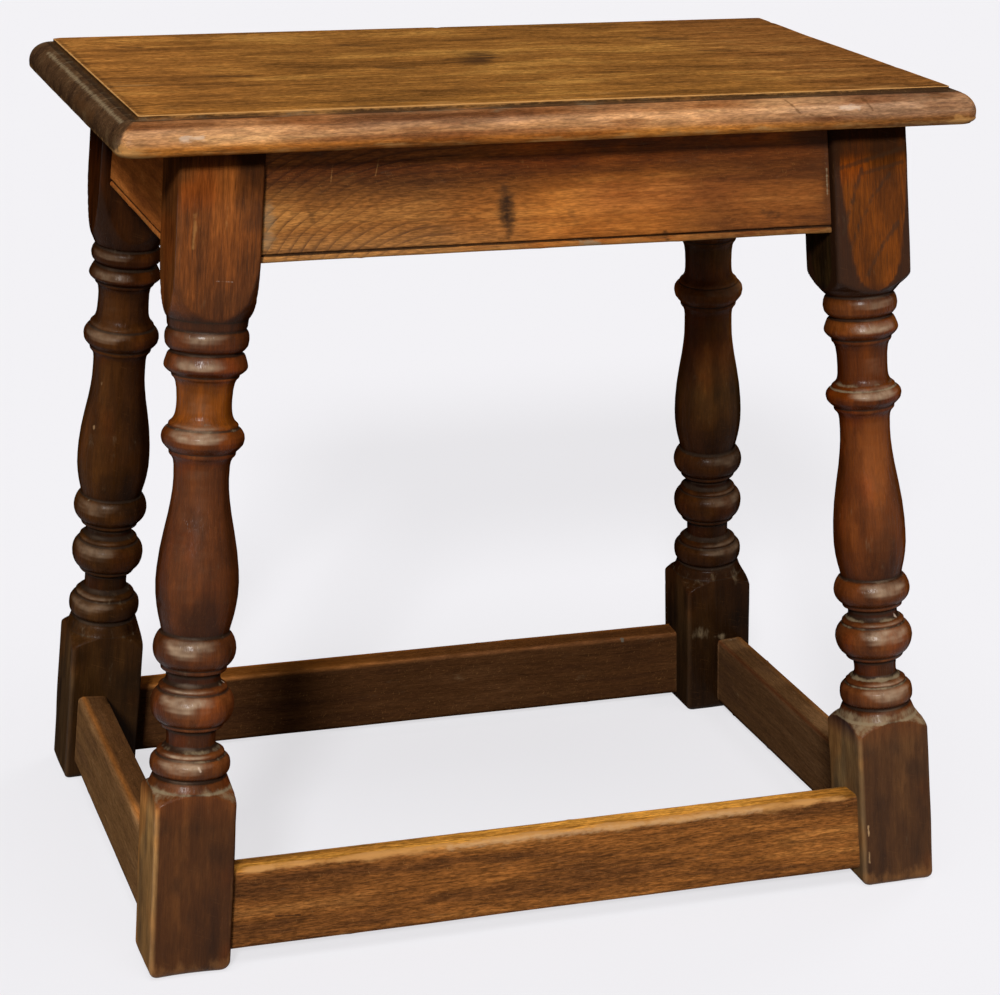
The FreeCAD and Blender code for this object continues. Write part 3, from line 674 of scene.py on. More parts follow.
def stretcher_tint_and_painted_shade(side, local):
    x, y, z = local.T / MM
    top = STRETCHER_HEIGHT / MM
    upper = smooth(top - 1.6, top - 0.3, z)
    inner_arris = smooth(top - 2.5, top - 1, z) * smooth(15.2, 16.4, y)
    patchy = smooth(-0.1, 0.5, noise(local, (0.022, 0.02, 0.02), 44))
    crumbly = 0.7 + 0.4 * noise(local, 0.008, 5)
    # The inner faces of the back, left and right stretchers are darkened as painted shade, and the outer face of the
    # left stretcher is made paler and greyer as painted light.
    return washes(*{
        "front": (
            (smooth(-40, -120, x), (0.80, 0.80, 0.85)),
            (upper, (1.85, 2.1, 1.4)),
        ),
        "back": (
            (smooth(1, 5, y), (0.275, 0.31, 0.50)),
            (smooth(5, 1, y), (0.80, 0.84, 0.95)),
            (upper, (1.6, 1.4, 1.0)),
            (upper * smooth(-30, 70, x), (1.7, 1.6, 1.1)),
            (inner_arris * crumbly, (1.8, 2.0, 2.8)),
        ),
        "left": (
            (smooth(3, 0.5, y), (0.82, 1.14, 2.0)),
            (smooth(3, 6, y), (0.36, 0.43, 0.67)),
            (upper * smooth(45, 62, x) * smooth(84, 70, x), (1.7, 1.7, 1.7)),
        ),
        "right": (
            (smooth(1, 5, y), (0.54, 0.72, 1.35)),
            (smooth(5, 1, y), (0.80, 0.84, 0.95)),
            (upper, (0.70, 0.68, 0.60)),
            (upper * patchy, (1.65, 1.75, 1.9)),
            (inner_arris, (0.8, 0.55, 0.5)),
        ),
    }[side])


# Top board

MOULDING_REACH = 13 * MM
QUIRK_DROP = 2.4 * MM
QUIRK_LEDGE = 3 * MM
OVOLO_BULGE = 2.6 * MM
NOSE_FLAT = 1.8 * MM
NOSE_RISE = 3.4 * MM
NOSE_REACH = 3 * MM
NOSE_BULGE = 0.7 * MM


def arc(start, end, bulge, count):
    """Points on an arc that stands bulge off its chord, to the right of the way."""
    start, end = np.array(start), np.array(end)
    chord = end - start
    aside = np.array([chord[1], -chord[0]]) / np.hypot(*chord)
    radius = ((chord / 2) @ (chord / 2) + bulge ** 2) / (2 * bulge)
    middle = (start + end) / 2 - aside * (radius - bulge)
    first = math.atan2(*(start - middle)[::-1])
    last = math.atan2(*(end - middle)[::-1])
    swing = (last - first + math.pi) % (2 * math.pi) - math.pi
    return [middle + abs(radius) * np.array([math.cos(first + swing * share), math.sin(first + swing * share)])
            for share in np.linspace(0, 1, count)]


def moulding_rings():
    """Inset from the board's edge, drop from its top and corner radius of each ring."""
    widest = TOP_THICKNESS - NOSE_RISE - NOSE_FLAT
    rings = [(14.4, 0.0, 1.5), (13.7, 0.03, 1.6), (13.3, 0.15, 1.8), (13.05, 0.42, 2.0), (13.0, 0.9, 2.0),
             (13.0, 1.7, 2.0), (12.85, 2.15, 2.2), (12.4, 2.38, 2.4), (11.6, 2.42, 2.8), (10.6, 2.36, 3.0)]
    rings = [(inset * MM, drop * MM, corner * MM) for inset, drop, corner in rings]
    ovolo = arc((-(MOULDING_REACH - QUIRK_LEDGE), -QUIRK_DROP), (0, -widest), -OVOLO_BULGE, 26)
    for number, (x, z) in enumerate(ovolo):
        rings.append((-x, -z, (3.2 + 6 * number / 25) * MM))
    for share in (0.4, 1.0):
        rings.append((0, widest + NOSE_FLAT * share, 9.4 * MM))
    nose = arc((0, -(TOP_THICKNESS - NOSE_RISE)), (-NOSE_REACH, -TOP_THICKNESS), -NOSE_BULGE, 8)
    for x, z in nose[1:]:
        rings.append((-x, -z, 8.5 * MM))
    rings.append((6 * MM, TOP_THICKNESS, 7 * MM))
    return rings


def side_steps(half, fine_reach):
    """Shares along half a side, from -1 to 1, closer near both corners."""
    coarse = np.linspace(-(half - fine_reach), half - fine_reach, int(2 * (half - fine_reach) / (2.8 * MM)))
    fine = np.linspace(half - fine_reach, half, 13)[1:]
    return np.concatenate([-fine[::-1], coarse, fine]) / half


def ring_points(xs, ys, half_x, half_y, corner):
    """Points of a rounded rectangle that pair with the border points of a grid."""
    def ease(share, half):
        reach = np.abs(share) * half
        inner = half - corner
        part = np.clip((reach - inner) / corner, 0, 1) * math.pi / 4
        along = np.where(reach > inner, inner + corner * np.sin(part), reach) * np.sign(share)
        back = np.where(reach > inner, corner * (1 - np.cos(part)), 0)
        return along, back
    ax, bx = ease(xs, half_x)
    ay, by = ease(ys, half_y)
    front = np.stack([ax[:-1], -half_y + bx[:-1]], axis=-1)
    right = np.stack([half_x - by[:-1], ay[:-1]], axis=-1)
    back = np.stack([ax[::-1][:-1], half_y - bx[::-1][:-1]], axis=-1)
    left = np.stack([-half_x + by[::-1][:-1], ay[::-1][:-1]], axis=-1)
    return np.concatenate([front, right, back, left])


def border_index(columns, rows):
    """Numbers of a grid's border points in the order of ring_points."""
    grid = np.arange(columns * rows).reshape(rows, columns)
    return np.concatenate([grid[0, :-1], grid[:-1, -1], grid[-1, ::-1][:-1], grid[::-1, 0][:-1]])


def make_top(seed):
    half = np.array((TOP_LENGTH, TOP_DEPTH)) / 2
    rings = moulding_rings()
    xs, ys = (side_steps(reach - rings[0][0], 13 * MM) for reach in half)
    count = 2 * (len(xs) + len(ys) - 2)
    size = len(xs) * len(ys)
    bands = [np.insert(ring_points(xs, ys, *(half - inset), corner), 2, STOOL_HEIGHT - drop, axis=1)
             for inset, drop, corner in rings]
    plates = [plate(xs, ys, *(half - rings[0][0]), STOOL_HEIGHT), plate(xs, ys, *(half - rings[-1][0]), HEAD)]
    points = np.concatenate(plates + bands[1:-1])
    border = border_index(len(xs), len(ys))
    loops = [2 * size + number * count + np.arange(count) for number in range(len(rings) - 2)]
    loops = [border, *loops, border + size]
    points[loops[0]], points[loops[-1]] = bands[0], bands[-1]
    faces = grid_faces(len(ys), len(xs), False)
    faces += [[number + size for number in face[::-1]] for face in faces]
    for inner, outer in zip(loops[:-1], loops[1:]):
        faces += np.stack([inner, outer, np.roll(outer, -1), np.roll(inner, -1)], axis=-1).tolist()
    piece = new_piece("oak_top_board", points, faces)
    inset_of, drops = np.ones(len(points)), np.zeros(len(points))
    for loop, (inset, drop, _) in zip(loops, rings):
        inset_of[loop], drops[loop] = inset, drop

    x, y, z = points.T
    past_x, past_y = half[0] - np.abs(x), half[1] - np.abs(y)
    waves = 0.30 * noise(points, (0.16, 0.05, 0.05), seed) + 0.08 * noise(points, (0.05, 0.012, 0.012), seed + 1)
    chips = dents(points, 90, seed + 9, 2.6 * MM, 0.5 * MM)
    push = (waves - 0.3) * MM - chips * (0.35 + 0.65 * smooth(20 * MM, 13 * MM, np.minimum(past_x, past_y)))
    push_out(piece, points, np.where(z < HEAD + 0.5 * MM, 0, push))

    arris = smooth(1.2 * MM, 0.1 * MM, np.abs(inset_of - 13.4 * MM)) * (drops < 0.6 * MM)
    quirk = (drops > 0.8 * MM) * (drops < 2.9 * MM) * (inset_of > 9.5 * MM)
    filled = (y < -0.12) * smooth(0.10, 0.06, x) * smooth(-0.228, -0.212, x)
    nose = smooth(TOP_THICKNESS - 6 * MM, TOP_THICKNESS - 2 * MM, drops)
    mould = smooth(13.2 * MM, 12 * MM, inset_of)
    corner = smooth(0.03, 0.0, np.hypot(past_x, past_y))
    patches = 0.5 + 0.8 * noise(points, (0.03, 0.01, 0.01), seed + 12)
    paint(piece, wear=np.clip(arris + 0.5 * nose + 0.35 * corner * mould, 0, 1),
          grime=np.clip(quirk * (1 - 0.6 * filled * patches), 0, 1),
          dust=np.clip(quirk * filled * 0.38 * patches + 0.15 * mould * (drops < 4 * MM), 0, 1),
          closed=0.45 * mould, stain=top_stain(points, mould),
          figure=0.004 * noise(points, (0.12, 0.03, 0.03), seed + 6))
    paint_tint_and_painted_light(piece, top_tint_and_painted_light(points, mould, drops), mould)
    stand_for(piece, "top_board")
    return piece


def plate(xs, ys, half_x, half_y, level):
    x, y = np.meshgrid(xs * half_x, ys * half_y)
    return np.stack([x, y, np.full_like(x, level)], axis=-1).reshape(-1, 3)


def top_stain(points, mould):
    """Darkening of the top board, negative where it is paler."""
    x, y, _ = points.T / MM
    broad = 0.30 * noise(points, (0.07, 0.03, 0.03), 21) + 0.26 * noise(points, (0.022, 0.006, 0.01), 22)
    worn_edge = smooth(-95, -122, y) + smooth(-180, -205, x)
    streaks = 0.20 * noise(points, (0.030, 0.0018, 0.0018), 23) + 0.22 * noise(points, (0.02, 0.008, 0.006), 24)
    return (broad - 0.16 * np.clip(worn_edge, 0, 1)) * (1 - mould) + mould * streaks


def top_tint_and_painted_light(points, mould, drops):
    x, y, _ = points.T / MM
    fall = drops / MM
    at_long = 1 - smooth(-1, 1, (TOP_DEPTH - TOP_LENGTH) / MM / 2 - np.abs(y) + np.abs(x))
    at_end = mould * (1 - at_long)
    at_front = mould * at_long * (y < 0)
    flat = 1 - mould
    upper = smooth(15.5, 11.5, fall)
    patchy = 0.75 + 0.5 * noise(points, (0.03, 0.006, 0.004), 27)
    return washes(
        (flat, (0.94, 0.94, 0.92)),
        (flat * smooth(-70, -120, y), (1.12, 1.14, 1.1)),
        (flat * smooth(-100, -190, x), (1.22, 1.18, 1.2)),
        (flat * smooth(100, 170, x), (0.84, 0.79, 0.90)),
        # On the front moulding: the upper part is paler and greyer as a painted sheen, partly dust; a paler band about
        # 7 mm down is a painted highlight, with painted shade in the darker bands on either side.
        (at_front * upper, (1.56, 1.80, 3.3)),
        (at_front * (1 - upper), (1.28, 1.02, 0.75)),
        (at_front * smooth(60, 180, x), (0.73, 0.81, 1.05)),
        (at_front * upper * np.clip(smooth(2.6, 0.6, np.abs(fall - 7.4)) * patchy, 0, 1), (1.30, 1.38, 1.5)),
        (at_front * np.clip(smooth(1.8, 3.6, np.abs(fall - 8.6)) * upper * patchy, 0, 1), (0.62, 0.50, 0.42)),
        (at_front * smooth(0.1, 0.6, noise(points, (0.022, 0.004, 0.0028), 28)), (0.70, 0.62, 0.55)),
        (at_front * smooth(0.2, 0.7, noise(points, (0.016, 0.004, 0.0024), 29)), (1.22, 1.25, 1.3)),
        (at_end * (x < 0), (0.30, 0.37, 0.78)),
        (at_end * (x > 0), (0.75, 0.7, 0.8)),
    )


# Materials

class Graph:
    """Adds nodes to the tree of a material or a world."""

    def __init__(self, owner):
        owner.use_nodes = True
        self.owner = owner
        self.tree = owner.node_tree

    def add(self, kind, **settings):
        node = self.tree.nodes.new("ShaderNode" + kind)
        for key, value in settings.items():
            setattr(node, key, value)
        return node

    def feed(self, node, **values):
        """Links or sets inputs of a node, by their names without spaces."""
        for name, value in values.items():
            socket = next(item for item in node.inputs if item.name.replace(" ", "") == name)
            self.put(socket, value)
        return node.outputs[0] if node.outputs else None

    def put(self, socket, value):
        if isinstance(value, bpy.types.NodeSocket):
            self.tree.links.new(value, socket)
        elif isinstance(value, tuple) and socket.type == "RGBA" and len(value) == 3:
            socket.default_value = (*value, 1)
        else:
            socket.default_value = value

    def row(self, node, *values):
        """Links or sets the first inputs of a node."""
        for socket, value in zip(node.inputs, values):
            self.put(socket, value)
        return node.outputs[0]

    def math(self, operation, first, second=0.0, third=0.0, clamp=False):
        return self.row(self.add("Math", operation=operation, use_clamp=clamp), first, second, third)

    def times(self, first, second, clamp=False):
        return self.math("MULTIPLY", first, second, clamp=clamp)

    def scaled(self, value, factor, more, clamp=False):
        """A value times a factor, and more."""
        return self.math("MULTIPLY_ADD", value, factor, more, clamp)

    def vector(self, operation, first, second=(0, 0, 0)):
        node = self.add("VectorMath", operation=operation)
        found = self.row(node, first, second)
        return node.outputs["Value"] if operation in ("LENGTH", "DOT_PRODUCT") else found

    def mix(self, share, first, second, blend="MIX"):
        node = self.add("Mix", data_type="RGBA", blend_type=blend)
        self.put(node.inputs["Factor"], share)
        self.put(node.inputs[6], first)
        self.put(node.inputs[7], second)
        return node.outputs[2]

    def noise(self, where, scale, detail=3.0, rough=0.55):
        return self.feed(self.add("TexNoise"), Vector=where, Scale=scale, Detail=detail, Roughness=rough)

    def grain(self, where, stretch, detail, rough=0.55):
        """Noise that is finer along some axes than along others."""
        return self.noise(self.vector("MULTIPLY", where, stretch), 1.0, detail, rough)

    def mapped(self, where, turn, shift=(0, 0, 0)):
        return self.feed(self.add("Mapping"), Vector=where, Rotation=turn, Location=shift)

    def span(self, value, low, high, to_low=0.0, to_high=1.0):
        """Carries low..high smoothly to to_low..to_high, and stops there."""
        return self.row(self.add("MapRange", interpolation_type="SMOOTHSTEP"), value, low, high, to_low, to_high)

    def field(self, name, output="Fac"):
        return self.add("Attribute", attribute_name=name).outputs[output]

    def coords(self):
        return self.add("TexCoord").outputs["Object"]

    def stroke(self, where, start, end, width, ragged, soft):
        """1 along a line between two points (millimetres), 0 beyond its width, with a ragged rim."""
        start, along = Vector(start) * MM, (Vector(end) - Vector(start)) * MM
        apart = self.vector("SUBTRACT", where, tuple(start))
        share = self.times(self.vector("DOT_PRODUCT", apart, tuple(along)), 1 / along.length_squared, True)
        step = self.feed(self.add("VectorMath", operation="SCALE"), Vector=tuple(along), Scale=share)
        apart = self.vector("LENGTH", self.vector("SUBTRACT", apart, step))
        return self.span(self.scaled(apart, 1 / (width * MM), ragged), 1 - soft, 1.0, 1.0, 0.0)


def grain_turn(along, face):
    """Euler turn that carries the grain to X and the normal of the wood's face to Z."""
    x = Vector(along).normalized()
    z = Vector(face)
    z = (z - x * z.dot(x)).normalized()
    y = z.cross(x)
    return Matrix((x, y, z)).to_euler()


OAK = dict(
    ring=3.2 * MM, ring_strength=0.35, pith=(0.05, -0.12), tilt=(0.02, 0.03), pore_strength=0.55, bump=0.35,
    gloss=0.08, scuff=0.14, fibre=0.4, fine=0.32, short=1.0, arcs=0.45, waver=0.018, streaky=0.45,
)


def oak(name, along, face, shift, look, marks=()):
    """Old oak with its grain along one way, growth rings about a far pith, and marks of use, with the painted light and
    shade that the pieces' fields carry.
    """
    look = {**OAK, **look}
    short = look["short"]
    g = Graph(bpy.data.materials.new(name))
    shader = g.tree.nodes["Principled BSDF"]
    coords = g.coords()
    place = g.mapped(coords, grain_turn(along, face), shift)

    # Growth rings, wavering along the grain.
    waver = g.grain(place, (5, 16, 16), 3.0, 0.5)
    split = g.add("SeparateXYZ")
    g.row(split, place)
    x, y, z = split.outputs
    ring_y, ring_z = (g.scaled(x, tilt, g.math("SUBTRACT", way, pith))
                      for way, tilt, pith in zip((y, z), look["tilt"], look["pith"]))
    reach = g.math("SQRT", g.math("ADD", g.times(ring_y, ring_y), g.times(ring_z, ring_z)))
    reach = g.scaled(waver, look["waver"], g.math("ADD", reach, g.field("figure")))
    year = g.math("FRACT", g.times(reach, 1 / look["ring"]))
    early = g.times(g.span(year, 0.0, 0.5, 1.0, 0.0), g.span(year, 0.0, 0.08))
    early = g.times(early, g.span(g.grain(place, (9, 40, 40), 2.0), 0.35, 0.65, 0.35, 1.0))

    # Fibres, pores and broad changes of tone.
    fibre = g.grain(place, (36 * short, 560, 560), 3.0, 0.65)
    fine = g.grain(place, (150 * short, 1500, 1500), 2.0, 0.6)
    streak = g.grain(place, (7, 95, 95), 3.0, 0.6)
    pores = g.span(g.grain(place, (60 * short, 1150, 1150), 1.0, 0.5), 0.54, 0.66)
    pores = g.times(pores, g.scaled(early, 0.8, 0.35))
    blotch = g.grain(place, (11, 30, 30), 5.0, 0.65)
    tone = g.math("ADD", g.times(blotch, 1 - look["streaky"]), g.times(streak, look["streaky"]))
    colour = g.mix(g.span(tone, 0.38, 0.51, 1.0, 0.0), look["mid"], look["dark"])
    colour = g.mix(g.span(tone, 0.50, 0.62), colour, look["pale"])
    open_grain = g.math("SUBTRACT", 1.0, g.field("closed"))
    rings = g.field("rings")

    def roughen(share, colour, grain, depth):
        """Darkens and lightens a colour with the grain."""
        shade = g.span(grain, 0.30, 0.70, 1 - look[depth], 1 + look[depth])
        return g.mix(share, colour, g.mix(1.0, colour, shade, "MULTIPLY"))

    plain = roughen(g.scaled(open_grain, 0.75, 0.25), colour, fibre, "fibre")
    colour = g.mix(g.times(rings, 0.75), plain, colour)
    colour = roughen(g.scaled(open_grain, 0.8, 0.2), colour, fine, "fine")
    ringed = g.times(early, g.scaled(rings, look["arcs"], look["ring_strength"]), True)
    ringed = g.times(ringed, g.span(fine, 0.40, 0.60, 0.45, 1.0))
    colour = g.mix(g.times(ringed, open_grain), colour, look["deep"])
    colour = g.mix(g.times(pores, g.times(open_grain, look["pore_strength"])), colour, look["deep"])
    # Colour factors of the pieces, painted light and shade among them.
    colour = g.mix(1.0, colour, g.field("tint_and_painted_light", "Vector"), "MULTIPLY")

    # Stains and painted shade, wear on the arrises, dirt in the hollows, dust, and a painted highlight on the beads.
    ragged = g.grain(place, (60, 170, 170), 4.0, 0.65)
    uneven = g.math("SUBTRACT", ragged, 0.5)
    raised = g.scaled(uneven, 0.7, g.field("stain"))
    rubbed = g.span(g.scaled(uneven, 1.6, g.field("wear")), 0.35, 0.95)
    dirty = g.span(g.scaled(uneven, 0.8, g.field("grime")), 0.25, 0.85)
    dusty = g.span(g.scaled(uneven, 1.6, g.field("dust")), 0.2, 0.9, 0.0, 0.75)
    # The painted highlight on the beads, broken up by the grain.
    painted_highlight_mask = g.times(g.field("haze"), g.span(ragged, 0.3, 0.6, 0.55, 1.0))
    layers = [
        (g.span(raised, 0.12, 0.95, 0.0, 0.92), look["stain"]),
        (g.span(raised, -0.2, -0.9, 0.0, 0.9), look["bare"]),
        (g.times(rubbed, look["wear_strength"]), look["bare"]),
        (g.times(dirty, look["grime_strength"]), look["grime"]),
        (dusty, MARK_TONES["dust"]),
        (painted_highlight_mask, MARK_TONES["haze"]),
    ]
    for turn in (0.35, -0.9):
        scuff = g.grain(g.mapped(place, (turn, 0.4 * turn, turn)), (1300, 70, 1300), 1.0, 0.5)
        layers.append((g.span(scuff, 0.66, 0.78, 0.0, look["scuff"]), look["bare"]))
    crumbly = g.math("SUBTRACT", g.grain(place, (240, 560, 560), 3.0, 0.6), 0.5)
    for *ends, width, soft, tone_name, strong in marks:
        rim = g.times(uneven if width > 3.5 else crumbly, -2.6 * soft)
        share = g.stroke(coords, ends[:3], ends[3:], width, rim, soft)
        layers.append((g.times(share, strong), MARK_TONES[tone_name]))
    for share, shade in layers:
        colour = g.mix(share, colour, shade)

    # Wax fills the close grain and leaves the pores, the dirt and the bare wood dull.
    rough = g.scaled(blotch, 0.25, look["rough"] - 0.12)
    rough = g.scaled(rubbed, 0.10, g.scaled(pores, 0.18, rough))
    rough = g.scaled(dirty, 0.30, rough, True)
    relief = g.times(pores, -0.6)
    for source, height in ((early, -0.25), (fibre, 0.35), (ragged, 0.5)):
        relief = g.scaled(source, height, relief)
    bump = g.feed(g.add("Bump"), Strength=look["bump"], Distance=0.6 * MM, Height=relief)
    shader.inputs["Specular IOR Level"].default_value = look["gloss"]
    g.feed(shader, BaseColor=colour, Roughness=rough, Normal=bump,
           SpecularIORLevel=g.times(g.field("polish"), look["gloss"]))
    return g.owner


MARK_TONES = dict(
    black=(0.012, 0.006, 0.004), dark=(0.04, 0.018, 0.008), brown=(0.085, 0.036, 0.012), red=(0.17, 0.05, 0.016),
    # The tone after dust is that of the painted highlight on the beads.
    gold=(0.42, 0.2, 0.06), pale=(0.45, 0.27, 0.13), dust=(0.24, 0.175, 0.1), haze=(0.3, 0.2, 0.125),
    grey=(0.1, 0.085, 0.065), chalk=(0.58, 0.44, 0.33),
)
# Marks of use, in millimetres: from and to (three numbers each), width, softness of the rim (1 the softest), tone
# and strength.
MARKS = {
    "oak_top_board": (
        (-8, -2, 447.5, 4, 22, 447.5, 17, 1, "dark", 0.75), (-1, 4, 447.5, 9, 16, 447.5, 8, 1, "dark", 0.6),
        (-157, -19, 447.5, -136, -24, 447.5, 6, 1, "dark", 0.6),
        (-62, -11, 447.5, -44, -17, 447.5, 4.5, 1, "dark", 0.6),
        (-184, 86, 447.5, -176, 84, 447.5, 6, 1, "dark", 0.6), (-62, 68, 447.5, -46, 66, 447.5, 8, 1, "dark", 0.5),
        (118, 64, 447.5, 134, 58, 447.5, 9, 1, "dark", 0.6), (132, 12, 447.5, 148, 9, 447.5, 6, 1, "dark", 0.5),
        (-197, -140, 437.4, -187, -140, 437.8, 2, 1, "chalk", 0.5),
        (149, -139, 439.8, 158, -138.6, 440, 2.2, 1, "chalk", 0.5),
        (119, -134, 444.2, 125, -140, 438.2, 1.2, 0.9, "brown", 0.7),
        (162, -134.4, 443.8, 166, -139.8, 438.3, 1.2, 0.9, "brown", 0.7),
        (125, -140, 438.2, 136, -140.6, 436.4, 0.9, 0.9, "brown", 0.6),
        (-225.5, -138, 433.8, -220, -141, 431.2, 3, 0.7, "gold", 0.9),
        (-226, -136, 430, -219, -139.5, 429.6, 2.4, 0.7, "gold", 0.8),
        (214, -140.5, 433, 222, -139, 431, 2.4, 0.8, "gold", 0.7),
        # A pale grey line along the upper edge of the left end's ovolo, in the dust tone: a painted highlight.
        (-222.5, -122, 443, -222.5, 100, 443, 1.8, 1, "dust", 0.7),
        (-228, -70, 437, -228, -20, 438, 5, 1, "brown", 0.5),
        (-213.5, -122, 446, -213.5, 118, 446, 2.4, 1, "black", 0.6),
        (-20, -128.2, 447, 190, -128.2, 447, 1.1, 1, "gold", 0.55),
        (-200, -128, 447, -20, -128, 447, 1.4, 1, "gold", 0.6),
    ),
    "oak_frieze_rail_front": (
        (-26.8, -119.6, 396, -26, -120.4, 383, 6, 1, "brown", 0.75),
        (-27.5, -119.5, 402, -25, -120.5, 377, 3.4, 1, "dark", 0.6),
        (-24, -119.5, 397, -23.5, -120.2, 386, 3.4, 1, "dark", 0.55),
        (-29, -119.5, 395, -27.5, -120.2, 383, 3, 1, "dark", 0.5),
        (-26, -119.5, 398, -26, -120.2, 386, 2, 1, "black", 0.5),
        (60, -120, 375.5, 62, -120.3, 371.5, 2.6, 1, "black", 0.7),
        (52, -120, 373, 66, -120, 374, 2.6, 1, "brown", 0.6),
        (116, -120, 382.5, 124, -120.4, 381.6, 3.2, 1, "dark", 0.5),
        (14, -120.5, 371.6, 24, -120.8, 371.2, 2, 0.8, "dust", 0.8),
        (-130, -119, 396, -128, -119.4, 391, 2.6, 1, "brown", 0.5),
        (8, -120, 388, 11, -120, 384, 3, 1, "brown", 0.35),
        (-116, -116.6, 424, -118, -118.4, 409, 0.5, 0.9, "gold", 0.4),
        (-92, -116.6, 424, -95, -118.4, 411, 0.5, 0.9, "gold", 0.35),
        (-150, -120.6, 398, -151, -120.6, 380, 5, 1, "dust", 0.5),
        (151.2, -119, 404, 152, -119.9, 391, 0.6, 1.3, "dust", 0.75),
    ),
    "oak_leg_front_left": (
        (-178.6, -128, 363.9, -170.6, -128, 363.1, 0.5, 0.9, "chalk", 0.4),
        (-199.4, -118.5, 368, -200.2, -121, 356, 0.5, 0.6, "chalk", 0.5),
        (-161.5, -126, 392, -161.5, -126.4, 389.5, 4.2, 1, "dark", 0.55),
        (-188, -125.5, 397, -189.5, -126.5, 381, 1.4, 0.9, "gold", 0.45),
        (-186, -125.6, 394, -184.8, -126.6, 383, 0.7, 0.9, "gold", 0.5),
        (-171.5, -125, 403, -173, -126, 389, 0.8, 0.9, "gold", 0.35),
        (-178.6, -126, 151.6, -177.4, -126, 150.8, 1.1, 0.8, "chalk", 0.8),
        (-195.5, -146, 113, -194.6, -146, 111.4, 1.2, 0.8, "chalk", 0.7),
        (-181, -152, 26.5, -166, -152, 25.6, 0.7, 0.8, "black", 0.7),
    ),
    "oak_leg_front_right": (
        (168.6, -125, 404, 163.5, -126.5, 387, 1.8, 0.7, "dark", 0.62),
        (163.5, -126.5, 387, 159.6, -127.6, 371, 1.8, 0.7, "dark", 0.62),
        (185, -125, 401, 176, -126.5, 390, 1.8, 0.7, "dark", 0.62),
        (176, -126.5, 390, 168, -128, 374, 1.8, 0.7, "dark", 0.62),
        (168, -128, 374, 163.6, -129, 362, 1.8, 0.7, "dark", 0.62),
        (191, -127, 375, 182, -128.4, 363, 1.8, 0.7, "dark", 0.62),
        (182, -128.4, 363, 174, -129.4, 348, 1.8, 0.7, "dark", 0.62),
        (156, -124.3, 405, 172, -124.3, 409, 1.8, 0.7, "dark", 0.62),
        (172, -124.3, 409, 193, -123.6, 414.5, 1.8, 0.7, "dark", 0.62),
        (170, -124, 402, 192, -124, 407, 1.5, 0.7, "dark", 0.55),
        (200.2, -135, 155.4, 200.8, -134, 153.4, 1.2, 0.8, "chalk", 0.8),
        (187, -151.6, 64.2, 217, -152, 61, 0.45, 0.8, "dust", 0.5),
        (183, -153.7, 36.5, 183.6, -154.2, 31, 0.9, 0.9, "pale", 0.7),
        (184, -155, 21, 184.6, -155.4, 15, 0.9, 0.9, "pale", 0.6),
    ),
    "oak_leg_back_left": (
        (-196.6, 105.5, 250.6, -196.2, 105.5, 248.4, 1.3, 0.8, "pale", 0.6),
        (-202.4, 104.9, 224.4, -202, 104.9, 223, 1.2, 0.9, "pale", 0.45),
        (-206, 109.5, 178, -201, 109.3, 178, 0.8, 0.9, "dust", 0.7),
    ),
    "oak_stretcher_back": (
        (140.6, 130.2, 50.4, 141.2, 129.9, 47.4, 1.5, 0.5, "grey", 0.9),
    ),
    "oak_stretcher_right": (
        (201.7, 106.8, 50.3, 211, 106.6, 50.8, 1.1, 1, "dust", 0.85),
    ),
    "oak_stretcher_front": (
        (-156, -148.6, 25.3, -143, -148.8, 24.1, 0.8, 0.8, "black", 0.7),
        (-150, -146.2, 52.6, -100, -146.2, 52.6, 2.6, 1, "gold", 0.6),
        (-120, -145.6, 52.8, 150, -145.6, 52.8, 4.2, 1, "gold", 0.85),
        (-60, -146.6, 51.6, 120, -146.6, 51.6, 2.4, 1, "pale", 0.5),
    ),
}

LEG_LOOK = dict(
    pale=(0.172, 0.048, 0.0105), mid=(0.106, 0.0285, 0.0066), dark=(0.06, 0.0168, 0.0046), deep=(0.02, 0.008, 0.004),
    stain=(0.028, 0.011, 0.005), bare=(0.3, 0.13, 0.042), grime=(0.022, 0.013, 0.008), wear_strength=0.35,
    grime_strength=0.8, rough=0.25, gloss=0.09, ring_strength=0.25, pore_strength=0.7, streaky=0.3, fibre=0.32,
    scuff=0.06, pith=(0.03, -0.05),
)
TOP_LOOK = dict(
    pale=(0.34, 0.155, 0.034), mid=(0.235, 0.095, 0.02), dark=(0.13, 0.052, 0.012), deep=(0.06, 0.024, 0.008),
    stain=(0.05, 0.022, 0.008), bare=(0.5, 0.26, 0.085), grime=(0.03, 0.016, 0.008), wear_strength=0.85,
    grime_strength=0.85, rough=0.42, pith=(0.02, -0.16), fibre=0.34, fine=0.42, short=2.0, pore_strength=0.7,
)
FRIEZE_LOOK = dict(
    pale=(0.4, 0.15, 0.032), mid=(0.27, 0.09, 0.018), dark=(0.16, 0.052, 0.012), deep=(0.07, 0.024, 0.008),
    stain=(0.065, 0.022, 0.008), bare=(0.42, 0.2, 0.055), grime=(0.025, 0.012, 0.006), wear_strength=0.5,
    grime_strength=0.9, rough=0.4, ring_strength=0.25, ring=4.2 * MM, waver=0.003, arcs=1.0, short=1.6, fibre=0.3,
    fine=0.4, pore_strength=0.65,
)
STRETCHER_LOOK = dict(
    pale=(0.3, 0.115, 0.026), mid=(0.2, 0.07, 0.015), dark=(0.11, 0.039, 0.01), deep=(0.04, 0.016, 0.006),
    stain=(0.045, 0.018, 0.007), bare=(0.45, 0.22, 0.07), grime=(0.06, 0.04, 0.022), wear_strength=0.9,
    grime_strength=0.6, rough=0.45, streaky=0.75, fibre=0.36, fine=0.5, short=1.7,
)
SMOOTH_STRETCHER = dict(
    STRETCHER_LOOK, pale=(0.255, 0.093, 0.021), dark=(0.155, 0.054, 0.013), streaky=0.45, fibre=0.24, fine=0.32,
)


def dress(piece, material):
    piece.data.materials.clear()
    piece.data.materials.append(material)


